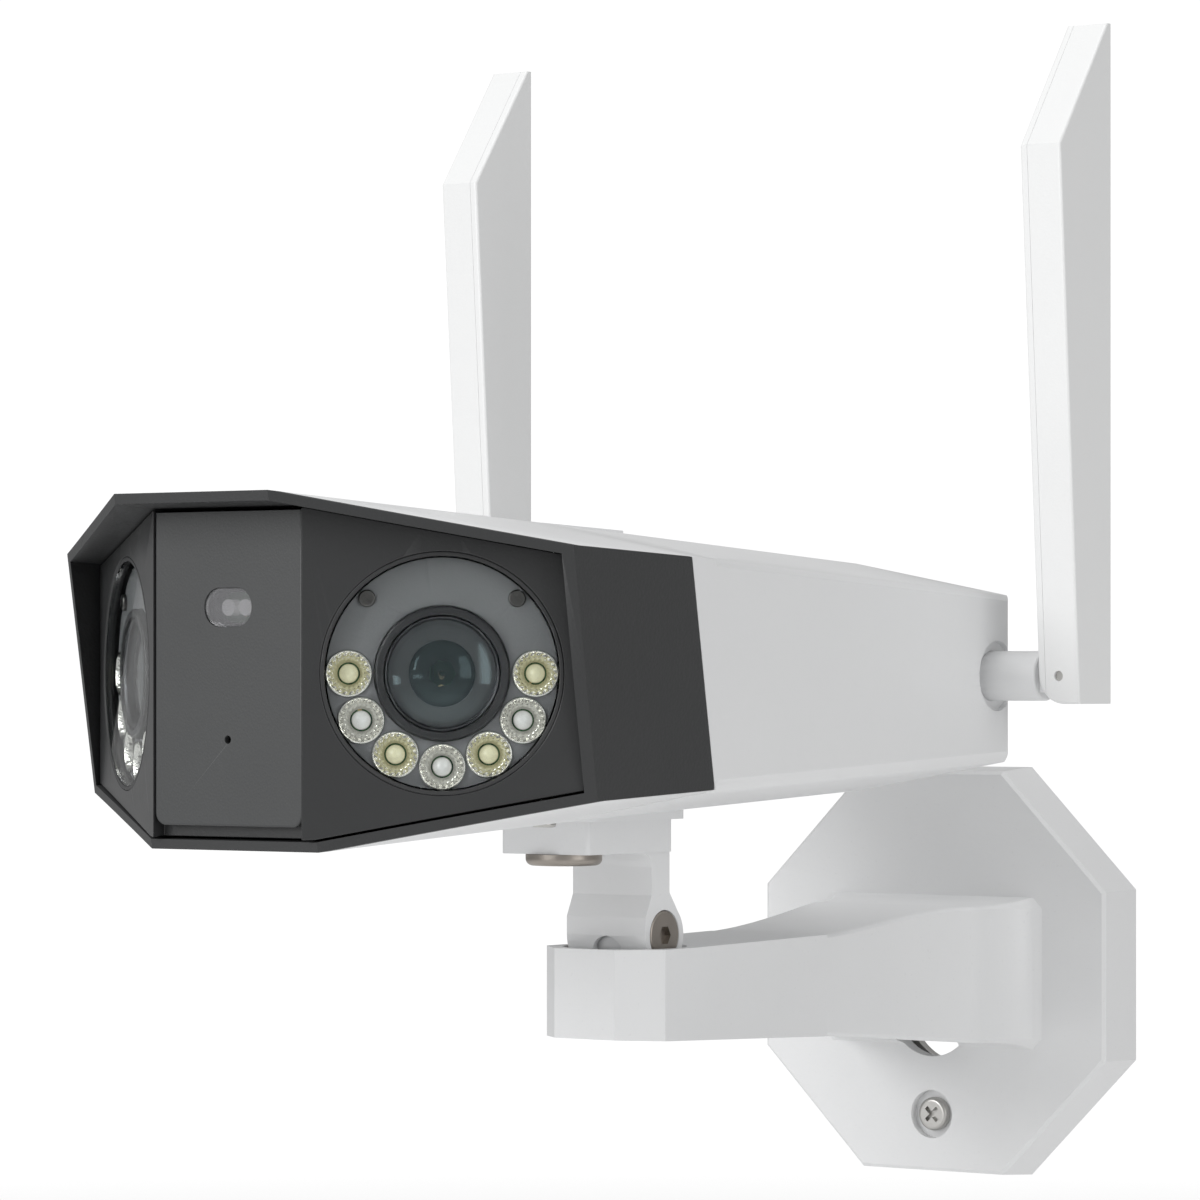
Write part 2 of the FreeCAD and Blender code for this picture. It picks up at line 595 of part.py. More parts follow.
def speaker():
    """Round speaker over the slots in the underside."""
    low = shell_low(SPEAKER_Y) + SHELL_WALL + 0.5
    ring = rod(SPEAKER_R, V(0, SPEAKER_Y, low), V(0, SPEAKER_Y, low + 2.2))
    magnet = rod(7.5, V(0, SPEAKER_Y, low + 2.2), V(0, SPEAKER_Y, low + 6.5))
    cone = Part.makeCone(SPEAKER_R - 1.5, 5, 1.6, V(0, SPEAKER_Y, low))
    return fuse(ring, magnet).cut(cone)


def card_socket():
    """Memory card socket above the card bay."""
    low = shell_low(CARD_Y) + 6.4
    block = box((-8, 4.6), (70.0, 79.0), (low, low + 2.2))
    return block.cut(box((-7, 3.6), (69, 78), (low + 0.6, low + 1.5)))


def reset_button():
    """Small push button beside the card socket."""
    low = shell_low(CARD_Y) + 5.0
    stem = rod(1.2, V(6.2, CARD_Y, low), V(6.2, CARD_Y, low + 3.0))
    flange = rod(1.7, V(6.2, CARD_Y, low + 2.0), V(6.2, CARD_Y, low + 2.8))
    return fuse(stem, flange)


def button_housing():
    """Guide sleeve of the reset button."""
    low = shell_low(CARD_Y)
    outer = box((4.8, 8.6), (CARD_Y - 2.4, CARD_Y + 2.4), (low + 6.3, low + 10.0))
    outer = outer.cut(rod(1.2 + SLIP, V(6.2, CARD_Y, low), V(6.2, CARD_Y, low + 9.0)))
    return outer.cut(rod(1.8, V(6.2, CARD_Y, low + 6.8), V(6.2, CARD_Y, low + 9.2)))


def card_cover():
    """Cover plate of the card bay."""
    low = shell_low(CARD_Y)
    plate = box((-CARD_HALF_X, CARD_HALF_X), (CARD_Y - CARD_HALF_Y, CARD_Y + CARD_HALF_Y), (low, low + 1.0))
    plate = rounded(plate, 1.5, lambda c, e: abs(c.x) > 12.9 and abs(e.Length - 1.0) < 0.01)
    for x in (-CARD_SCREW_X, CARD_SCREW_X):
        plate = plate.cut(rod(1.1, V(x, CARD_Y, low - 1), V(x, CARD_Y, low + 3)))
    return plate


def card_gasket():
    """Flat seal under the card cover."""
    low = shell_low(CARD_Y)
    seal = box((-CARD_HALF_X + 0.4, CARD_HALF_X - 0.4), (CARD_Y - 5.6, CARD_Y + 5.6),
               (low + 1.0, low + CARD_PLATE))
    seal = seal.cut(box((-8, 8), (CARD_Y - 3.5, CARD_Y + 3.5), (low, low + 3)))
    for x in (-CARD_SCREW_X, CARD_SCREW_X):
        seal = seal.cut(rod(1.2, V(x, CARD_Y, low), V(x, CARD_Y, low + 3)))
    return seal


# ---------------------------------------------------------------- rear of the shell
def rear_cover():
    """Plate over the rear opening."""
    plate = box((-BACK_HALF_X, BACK_HALF_X), (REAR_Y - 1.0, REAR_Y + BACK_PROUD), (-BACK_HALF_Z, BACK_HALF_Z))
    plate = rounded(plate, 3.0, lambda c, e: abs(c.x) > 33.9 and abs(e.Length - 1.4) < 0.01)
    plate = plate.cut(rod(GLAND_R - 1.0, V(0, REAR_Y - 3, 0), V(0, REAR_Y + 3, 0)))
    for x in (-BACK_SCREW_X, BACK_SCREW_X):
        plate = plate.cut(rod(1.3, V(x, REAR_Y - 3, 0), V(x, REAR_Y + 3, 0)))
    return plate


def rear_gasket():
    """Seal between the rear cover and the shell."""
    seal = box((-BACK_HALF_X + 0.5, BACK_HALF_X - 0.5), (REAR_Y - BACK_PLATE, REAR_Y - 1.0), (-9.0, 9.0))
    seal = seal.cut(box((-27, 27), (REAR_Y - 5, REAR_Y), (-6.5, 6.5)))
    for x in (-BACK_SCREW_X, BACK_SCREW_X):
        seal = seal.cut(rod(1.35, V(x, REAR_Y - 3, 0), V(x, REAR_Y + 3, 0)))
    return seal


def cover_gaskets():
    """Seals of the card bay and of the rear opening."""
    return Part.makeCompound([card_gasket(), rear_gasket()])


def cover_screws():
    """Four equal screws, two in the card cover and two in the rear cover."""
    screws = []
    for side in (-1, 1):
        card = V(side * CARD_SCREW_X, CARD_Y, shell_low(CARD_Y) - COVER_HEAD_H)
        rear = V(side * BACK_SCREW_X, REAR_Y + BACK_PROUD + COVER_HEAD_H, 0)
        for head, inwards in ((card, Z_AXIS), (rear, Y_AXIS * -1)):
            tip = head + inwards * COVER_SCREW
            screws.append(cap_screw(COVER_SCREW_R, head, tip, COVER_HEAD_R, COVER_HEAD_H))
    return Part.makeCompound(screws)


def cable_gland():
    """Ribbed rubber-lined gland where a cable enters the rear cover."""
    y = REAR_Y + BACK_PROUD
    body = fuse(rod(GLAND_R - 1.0 - SLIP, V(0, REAR_Y - 4.5, 0), V(0, y, 0)),
                rod(GLAND_R + 1.6, V(0, y, 0), V(0, y + 2.4, 0)),
                rod(GLAND_R - 0.6, V(0, y + 2.4, 0), V(0, y + 7.5, 0)))
    body = rounded(body, 1.0, lambda c, e: c.y > y + 7.4)
    body = rounded(body, 0.6, lambda c, e: abs(c.y - y - 2.4) < 0.01 and e.Length > 45)
    return body.cut(rod(CABLE_BORE_R, V(0, REAR_Y - 6, 0), V(0, y + 9, 0)))


def gland_nut():
    """Hexagon nut of the gland inside the shell."""
    corners = [V(8.2 * math.cos(math.radians(60 * i)), REAR_Y - 4.4, 6.4 * math.sin(math.radians(60 * i)))
               for i in range(6)]
    nut = prism(corners, V(0, 2.6, 0))
    return nut.cut(rod(GLAND_R - 1.0 + SLIP, V(0, REAR_Y - 6, 0), V(0, REAR_Y, 0)))


# ---------------------------------------------------------------- antennas (right side)
def antenna_stem():
    """Round stem in the shell's side with the hinge knuckle at its outer end."""
    y, z = STEM_Y, STEM_Z
    stem = rod(STEM_R, V(42.0, y, z), V(STEM_END, y, z))
    groove = tube(STEM_R + 1, GROOVE_R, V(CLIP_X - CLIP_THICK - SLIP, y, z), V(CLIP_X + SLIP, y, z))
    stem = stem.cut(groove)
    stem = rounded(stem, 0.5, lambda c, e: abs(c.x - STEM_END) < 0.01)
    neck = box((STEM_END - 0.6, PIN_X), (y - KNUCKLE_HALF, y + KNUCKLE_HALF), (z - KNUCKLE_R, z + KNUCKLE_R))
    eye = rod(KNUCKLE_R, V(PIN_X, y - KNUCKLE_HALF, z), V(PIN_X, y + KNUCKLE_HALF, z))
    stem = fuse(stem, neck, eye)
    stem = stem.cut(rod(PIN_R + SLIP, V(PIN_X, y - 9, z), V(PIN_X, y + 9, z)))
    return stem.cut(rod(1.2, V(40, y, z), V(56, y, z)))


def antenna_clip():
    """Snap ring in the stem's groove, inside the shell's wall."""
    return tube(CLIP_R, GROOVE_R + SLIP, V(CLIP_X - CLIP_THICK, STEM_Y, STEM_Z), V(CLIP_X, STEM_Y, STEM_Z))


def blade():
    """Whole outer form of the antenna blade with the knuckle's slot."""
    outline = [V(BLADE_IN, BLADE_FRONT_LOW, BLADE_LOW), V(BLADE_IN, BLADE_BACK, BLADE_LOW),
               V(BLADE_IN, BLADE_BACK, BLADE_TOP), V(BLADE_IN, BLADE_BACK - 1.6, BLADE_TOP),
               V(BLADE_IN, BLADE_FRONT_TOP, BLADE_SHOULDER)]
    form = prism(outline, V(BLADE_OUT - BLADE_IN, 0, 0))
    form = rounded(form, 4.7, lambda c, e: c.z < BLADE_LOW + 0.1 and c.x < BLADE_IN + 0.1)
    form = rounded(form, 0.5, lambda c, e: e.Length > 12 and c.z > BLADE_LOW + 8)
    y, z, wide = STEM_Y, STEM_Z, KNUCKLE_HALF + 0.3
    clear = KNUCKLE_R + 0.3
    slot = fuse(rod(clear, V(PIN_X, y - wide, z), V(PIN_X, y + wide, z)),
                box((BLADE_IN - 2, PIN_X), (y - wide, y + wide), (BLADE_LOW - 2, z + clear)),
                box((BLADE_IN - 2, PIN_X + clear), (y - wide, y + wide), (BLADE_LOW - 2, z)))
    form = form.cut(slot)
    return form.cut(rod(PIN_R, V(PIN_X, y - 15, z), V(PIN_X, y + 15, z)))


def blade_cavity():
    """Room for the aerial board inside the blade."""
    thick, front, back, low, top = AERIAL
    return box((thick[0] - 1.0, thick[1] + 1.4), (front - 0.5, back + 0.5), (low - 1, top + 1))


def antenna_inner_shell():
    """Thin inner half of the blade."""
    return blade().common(box((BLADE_IN - 1, SEAM_X), (130, 170), (-20, 130)))


def antenna_outer_shell():
    """Thick outer half of the blade."""
    half = blade().common(box((SEAM_X + SLIP, BLADE_OUT + 1), (130, 170), (-20, 130)))
    return half.cut(blade_cavity())


def antenna_board():
    """Printed aerial inside the blade."""
    thick, front, back, low, top = AERIAL
    return box(thick, (front, back), (low, top))


def antenna_pin():
    """Hinge pin of the blade."""
    return rod(PIN_R - 0.02, V(PIN_X, 147.0, STEM_Z), V(PIN_X, 157.2, STEM_Z))


# ---------------------------------------------------------------- mounting foot, leg and knuckle
def mount_insert():
    """Threaded brass insert in the shell's underside."""
    insert = fuse(rod(3.95, V(0, FOOT_Y, PAD_Z + 0.2), V(0, FOOT_Y, -16.5)),
                  rod(7.0, V(0, FOOT_Y, -20.6), V(0, FOOT_Y, -18.2)))
    return insert.cut(rod(3.1, V(0, FOOT_Y, -30), V(0, FOOT_Y, -10)))


def foot_screw():
    """Large round-headed screw that holds the camera on its foot."""
    head = rod(6.5, V(0, FOOT_Y, FOOT_LOW - 2.0), V(0, FOOT_Y, FOOT_LOW - SLIP))
    head = rounded(head, 1.2, lambda c, e: c.z < FOOT_LOW - 1.9)
    shaft = rod(3.05, V(0, FOOT_Y, FOOT_LOW - 0.2), V(0, FOOT_Y, -17.5))
    slot = box((-5, 5), (FOOT_Y - 0.7, FOOT_Y + 0.7), (FOOT_LOW - 3, FOOT_LOW - 1.2))
    return fuse(head, shaft).cut(slot)


def leg_outline():
    """Side view of the leg and its hub, from the foot down."""
    low = PIVOT_Z
    return [V(0, LEG_FRONT, PAD_Z - 3), V(0, LEG_BACK, PAD_Z - 3), V(0, LEG_BACK, -37.2), V(0, 110.6, -41.4),
            V(0, PIVOT_Y + HUB_R, low), V(0, PIVOT_Y - HUB_R, low), V(0, PIVOT_Y - HUB_R, -41.4),
            V(0, LEG_FRONT, -37.6)]


def leg():
    """Cast foot and leg with the forked hub at its lower end."""
    foot = box((-FOOT_HALF, FOOT_HALF), (FOOT_FRONT, FOOT_BACK), (FOOT_LOW, PAD_Z - SLIP))
    side = prism(leg_outline(), V(2 * LEG_HALF, 0, 0)).translated(V(-LEG_HALF, 0, 0))
    hub = rod(HUB_R, V(-LEG_HALF, PIVOT_Y, PIVOT_Z), V(LEG_HALF, PIVOT_Y, PIVOT_Z))
    body = fuse(foot, side, hub)
    body = rounded(body, 2.6, lambda c, e: abs(c.y - LEG_FRONT) < 0.05 and abs(c.z - FOOT_LOW) < 0.05)
    body = rounded(body, 0.8, lambda c, e: abs(abs(c.x) - FOOT_HALF) < 0.1 and abs(c.z - PAD_Z + 2.8) < 0.3)
    cuts = [rod(3.1, V(0, FOOT_Y, -40), V(0, FOOT_Y, -20)),
            rod(TONGUE_R + 0.3, V(-SLOT_HALF, PIVOT_Y, PIVOT_Z), V(SLOT_HALF, PIVOT_Y, PIVOT_Z)),
            rod(SLOT_HALF, V(0, 95, -47.8), V(0, PIVOT_Y, -47.8)),
            box((-SLOT_HALF, SLOT_HALF), (95, PIVOT_Y), (-55, -47.8)),
            box((-SLOT_HALF, SLOT_HALF), (PIVOT_Y - 0.1, PIVOT_Y + 3.6), (-55, PIVOT_Z)),
            rod(BOLT_R + SLIP, V(-12, PIVOT_Y, PIVOT_Z), V(12, PIVOT_Y, PIVOT_Z))]
    for side_x in (-LEG_HALF, LEG_HALF):
        inner = side_x * (1 - 1.3 / LEG_HALF)
        cuts.append(rod(BOLT_HEAD_R + 0.15, V(inner, PIVOT_Y, PIVOT_Z), V(side_x * 1.5, PIVOT_Y, PIVOT_Z)))
    cuts.append(box((-SLOT_HALF, SLOT_HALF), (PIVOT_Y, PIVOT_Y + 10), (-56, -46.4)))
    return cut_all(body, cuts)


def tilt_bolt():
    """Bolt through the hub with its flat head on the right."""
    head = LEG_HALF - 1.25
    bolt = fuse(rod(BOLT_R, V(-LEG_HALF + 0.2, PIVOT_Y, PIVOT_Z), V(head, PIVOT_Y, PIVOT_Z)),
                rod(BOLT_HEAD_R, V(head, PIVOT_Y, PIVOT_Z), V(LEG_HALF + 0.1, PIVOT_Y, PIVOT_Z)))
    hexagon = [V(LEG_HALF - 0.9, PIVOT_Y + 1.7 * math.cos(math.radians(60 * i)),
                 PIVOT_Z + 1.7 * math.sin(math.radians(60 * i))) for i in range(6)]
    bolt = rounded(bolt, 0.4, lambda c, e: abs(c.x - LEG_HALF - 0.1) < 0.01)
    return bolt.cut(prism(hexagon, V(3, 0, 0)))


def tilt_nut():
    """Round nut on the left end of the tilt bolt."""
    nut = tube(BOLT_HEAD_R, BOLT_R + 0.02, V(-LEG_HALF - 0.1, PIVOT_Y, PIVOT_Z),
               V(-LEG_HALF + 1.25, PIVOT_Y, PIVOT_Z))
    return nut


def pan_knuckle():
    """Turret in the arm's tip with the tongue that the hub straddles."""
    base = rod(TURRET_R, V(0, PIVOT_Y, TURRET_LOW), V(0, PIVOT_Y, TURRET_TOP))
    base = rounded(base, 0.6, lambda c, e: abs(c.z - TURRET_TOP) < 0.01)
    thin = SLOT_HALF - 0.1
    eye = rod(TONGUE_R, V(-thin, PIVOT_Y, PIVOT_Z), V(thin, PIVOT_Y, PIVOT_Z))
    neck = rod(NECK_R, V(0, PIVOT_Y, TURRET_TOP - 1), V(0, PIVOT_Y, PIVOT_Z))
    body = fuse(base, eye, neck)
    body = body.cut(rod(BOLT_R + SLIP, V(-9, PIVOT_Y, PIVOT_Z), V(9, PIVOT_Y, PIVOT_Z)))
    return body.cut(rod(1.6, V(0, PIVOT_Y, TURRET_LOW - 1), V(0, PIVOT_Y, TURRET_LOW + 5.5)))


def pan_screw():
    """Screw from below that keeps the turret in the arm."""
    return cap_screw(1.55, V(0, PIVOT_Y, -61.6), V(0, PIVOT_Y, TURRET_LOW + 5.0), 3.6, 1.6)


def pan_washer():
    """Spring washer between the screw's head and the arm."""
    return tube(3.9, 1.7, V(0, PIVOT_Y, -60.0 + SLIP), V(0, PIVOT_Y, -59.5))


# ---------------------------------------------------------------- bracket arm and wall plate
def octagon(apothem, flat, y):
    """Corners of the wall plate's outline at a distance y."""
    a, f = apothem, flat
    pairs = [(f, a), (a, f), (a, -f), (f, -a), (-f, -a), (-a, -f), (-a, f), (-f, a)]
    return [V(x, y, z + PLATE_Z) for x, z in pairs]


def octagon_block(front, back, grow=0.0, shrink=0.0):
    """The wall plate's outline as a solid, a little larger at the back by grow."""
    wires = []
    for y, more in ((front, -shrink), (back, grow - shrink)):
        corners = octagon(PLATE_APOTHEM + more, PLATE_FLAT + more * 0.41, y)
        wires.append(Part.makePolygon(corners + corners[:1]))
    return Part.makeLoft(wires, True, True)


def arm_section(half, top, low, corner, y):
    """Bevel-cornered rectangle across the arm."""
    pairs = [(half - corner, top), (half, top - corner), (half, low + corner), (half - corner, low),
             (corner - half, low), (-half, low + corner), (-half, top - corner), (corner - half, top)]
    points = [V(x, y, z) for x, z in pairs]
    return Part.makePolygon(points + points[:1])


ARM_STATIONS = [(ARM_HALF, -46.0, -64.0, 150.0), (12.9, -44.6, -65.2, 166.0), (14.6, -43.0, -66.4, 180.0),
                (18.6, -42.4, -67.4, 192.0)]
CHANNEL_HALF, CHANNEL_FRONT, CHANNEL_TOP = 8.6, 126.0, -50.0      # cable channel under the arm
FLARE_START, FLARE_RUN, FLARE_SIDE, FLARE_TOP, FLARE_LOW = 192.0, 12.1, 7.0, 0.25, 0.3


def arm():
    """Cast arm with its octagonal wall cover."""
    right = [(ARM_HALF - TIP_CHAMFER, ARM_TIP), (ARM_HALF, ARM_TIP + TIP_CHAMFER), (ARM_HALF, 150)]
    tip = [V(x, y, -80) for x, y in [(-x, y) for x, y in reversed(right)] + right]
    profile = [(ARM_TIP, -46.6), (110, -46.6), (150, -46.0), (150, -64.0), (ARM_TIP, -61.9)]
    side = [V(-20, y, z) for y, z in profile]
    front = prism(tip, V(0, 0, 50)).common(prism(side, V(40, 0, 0)))
    sections = [arm_section(half, top, low, 0.6, y) for half, top, low, y in ARM_STATIONS]
    middle = Part.makeLoft(sections, True, False)
    half, top, low, _ = ARM_STATIONS[-1]
    flare = []
    turns = [math.radians(15 * step) for step in range(6)]
    steps = [(FLARE_RUN * math.sin(turn), FLARE_SIDE * (1 - math.cos(turn)) * 0.9) for turn in turns]
    for run, rise in steps + [(PLATE_FACE + 0.6 - FLARE_START, FLARE_SIDE * 0.95)]:
        edges = (half + rise, top + rise * FLARE_TOP, low - rise * FLARE_LOW, 0.6 + rise * FLARE_TOP)
        flare.append(arm_section(*edges, FLARE_START + run))
    root = Part.makeLoft(flare, True, False)
    cover = octagon_block(PLATE_FACE, WALL_Y, grow=0.7)
    cover = cover.makeChamfer(0.6, [e for e in cover.Edges if abs(e.BoundBox.Center.y - PLATE_FACE) < 0.01])
    body = fuse(cover, front, middle, root)
    pocket = octagon_block(PLATE_FACE + 3.0, WALL_Y + 1, grow=0.7, shrink=2.6)
    channel = box((-CHANNEL_HALF, CHANNEL_HALF), (CHANNEL_FRONT, PLATE_FACE - 1.5), (-80, CHANNEL_TOP))
    channel = rounded(channel, 2.0, lambda c, e: c.z > CHANNEL_TOP - 0.1 and e.Length > 30)
    cuts = [pocket.cut(rod(6.2, V(0, PLATE_FACE, LOCK_Z), V(0, WALL_Y - PLATE_THICK - GAP, LOCK_Z))),
            rod(CABLE_R, V(0, PLATE_FACE - 14, CABLE_Z), V(0, WALL_Y + 2, CABLE_Z)), channel,
            rod(TURRET_R + 0.1, V(0, PIVOT_Y, TURRET_LOW - 0.1), V(0, PIVOT_Y, -40)),
            rod(1.7, V(0, PIVOT_Y, -70), V(0, PIVOT_Y, -50)),
            rod(4.2, V(0, PIVOT_Y, -70), V(0, PIVOT_Y, -59.5)),
            rod(4.5, V(0, PLATE_FACE - 3, LOCK_Z), V(0, PLATE_FACE + 1.8, LOCK_Z)),
            rod(1.7, V(0, PLATE_FACE - 1, LOCK_Z), V(0, WALL_Y, LOCK_Z)),
            rod(4.6, V(0, 208.6, LOCK_Z), V(0, WALL_Y + 2, LOCK_Z))]
    return cut_all(body, cuts)


def cut_all(body, cuts):
    """Take several shapes away from a body, one by one."""
    for shape in cuts:
        body = body.cut(shape)
    return body


def wall_plate():
    """Steel plate screwed to the wall behind the cover."""
    plate = octagon_block(WALL_Y - PLATE_THICK, WALL_Y, shrink=3.4)
    boss = rod(4.3, V(0, 208.8, LOCK_Z), V(0, WALL_Y - PLATE_THICK, LOCK_Z))
    plate = fuse(plate, boss)
    cuts = [rod(WALL_HOLE_R, V(x, 205, PLATE_Z + z), V(x, 220, PLATE_Z + z))
            for x in (-WALL_HOLE, WALL_HOLE) for z in (-WALL_HOLE, WALL_HOLE)]
    cuts.append(rod(CABLE_R + 1.5, V(0, 205, CABLE_Z), V(0, 220, CABLE_Z)))
    cuts.append(rod(1.45, V(0, 205, LOCK_Z), V(0, 220, LOCK_Z)))
    return cut_all(plate, cuts)


def lock_screw():
    """Cross-recess screw that locks the cover to the wall plate."""
    return cap_screw(1.4, V(0, PLATE_FACE + 0.1, LOCK_Z), V(0, WALL_Y - 0.5, LOCK_Z), 3.1, 1.6)


# ---------------------------------------------------------------- write every piece
PIECES = {
    "wall_plate": wall_plate, "bracket_arm": arm, "lock_screw": lock_screw, "pan_washer": pan_washer,
    "pan_knuckle": pan_knuckle, "pan_screw": pan_screw,
    "mounting_leg": leg, "tilt_bolt": tilt_bolt, "tilt_nut": tilt_nut,
    "housing": housing, "front_shroud": front_shroud, "front_gasket": front_gasket, "fascia": fascia,
    "centre_panel": centre_panel, "sensor_window": sensor_window, "sensor_board": sensor_board,
    "microphone": microphone, "light_sensor": light_sensor,
    "ring_screws": ring_screws, "led_reflectors": led_reflectors,
    "chassis": chassis, "chassis_screws": chassis_screws, "main_board": main_board,
    "board_chips": board_chips, "heat_sink": heat_sink, "speaker": speaker, "card_socket": card_socket,
    "reset_button": reset_button, "button_housing": button_housing, "card_cover": card_cover,
    "rear_cover": rear_cover, "cover_gaskets": cover_gaskets, "cover_screws": cover_screws,
    "cable_gland": cable_gland, "gland_nut": gland_nut, "mount_insert": mount_insert,
    "foot_screw": foot_screw,
}
LENS_PIECES = {
    "window_rings": window_ring, "window_glasses": window_glass, "ring_plates": ring_plate,
    "led_boards": led_board, "lens_barrels": lens_barrel, "lens_collars": lens_collar,
    "lens_baffles": lens_baffle, "lens_glasses": lens_glass, "image_sensors": image_sensor,
    "lens_holders": lens_holder,
}
ANTENNA_PIECES = {
    "stem": antenna_stem, "inner_shell": antenna_inner_shell, "outer_shell": antenna_outer_shell,
    "aerial": antenna_board, "pin": antenna_pin,
}


def main():
    """Write every node."""
    os.makedirs("parts", exist_ok=True)
    for node, build in PIECES.items():
        save(node, build())
    for node, build in LENS_PIECES.items():
        save(node, both([on_facet(build())]))
    save("white_lights", lights(LED_ANGLES[0::2]))
    save("infrared_lights", lights(LED_ANGLES[1::2]))
    save("antenna_clips", both([antenna_clip()]))
    for name, build in ANTENNA_PIECES.items():
        piece = build()
        save("right_antenna_" + name, piece)
        save("left_antenna_" + name, mirror(piece))


main()
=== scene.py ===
"""Looks of a twin-lens camera on its wall bracket: finishes, reflectors, irises and studio."""

import logging
import math
from dataclasses import dataclass
from enum import Enum
from typing import Any, Callable, Dict, Iterable, List, Optional, Tuple, Union

import bmesh
import bpy
from mathutils import Matrix, Vector

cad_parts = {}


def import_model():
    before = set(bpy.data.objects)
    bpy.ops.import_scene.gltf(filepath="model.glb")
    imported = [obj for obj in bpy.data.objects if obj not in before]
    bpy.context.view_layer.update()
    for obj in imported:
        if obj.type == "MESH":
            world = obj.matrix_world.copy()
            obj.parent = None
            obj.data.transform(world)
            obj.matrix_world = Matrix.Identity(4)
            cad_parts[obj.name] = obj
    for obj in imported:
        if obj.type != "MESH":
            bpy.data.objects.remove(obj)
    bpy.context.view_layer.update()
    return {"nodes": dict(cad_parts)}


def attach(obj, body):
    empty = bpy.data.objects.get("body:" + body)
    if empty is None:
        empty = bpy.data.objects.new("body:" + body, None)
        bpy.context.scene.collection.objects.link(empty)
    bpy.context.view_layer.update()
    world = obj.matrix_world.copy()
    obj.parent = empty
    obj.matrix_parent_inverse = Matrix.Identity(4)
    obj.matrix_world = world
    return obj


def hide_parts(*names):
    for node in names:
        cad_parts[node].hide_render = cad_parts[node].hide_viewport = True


LOG = logging.getLogger("camera")
MM = 0.001

Triple = Tuple[float, float, float]
Colour = Triple
Number = Union[float, "Wire"]

# The colour sockets of a Mix node, by their places among all of its sockets.
MIX_FACTOR, MIX_LOW, MIX_HIGH, MIX_RESULT = 0, 6, 7, 2


class Side(Enum):
    """The two halves of the camera."""

    RIGHT = 1
    LEFT = -1


# ---------------------------------------------------------------- shader arithmetic
@dataclass(frozen=True)
class Wire:
    """A node's output that takes part in Python arithmetic."""

    recipe: "Recipe"
    socket: bpy.types.NodeSocket

    def _math(self, operation: str, *values: Number) -> "Wire":
        """Add a Math node.

        Args:
            operation: the Math node's operation.
            values: its inputs in order.
        Returns:
            The node's output.
        """
        settings = {"operation": operation}
        return self.recipe.node("ShaderNodeMath", settings, dict(enumerate(values)))

    def __add__(self, other: Number) -> "Wire":
        """Sum."""
        return self._math("ADD", self, other)

    __radd__ = __add__

    def __mul__(self, other: Number) -> "Wire":
        """Product."""
        return self._math("MULTIPLY", self, other)

    __rmul__ = __mul__

    def __sub__(self, other: Number) -> "Wire":
        """Difference."""
        return self._math("SUBTRACT", self, other)

    def __rsub__(self, other: Number) -> "Wire":
        """Difference the other way round."""
        return self._math("SUBTRACT", other, self)

    def above(self, level: float, softness: float) -> "Wire":
        """A mask that rises from 0 to 1 over softness at a level."""
        ramp = (self - level) * (1.0 / softness)
        return ramp.clamped()

    def clamped(self) -> "Wire":
        """The value held between 0 and 1."""
        return self.recipe.node("ShaderNodeClamp", {}, {"Value": self})


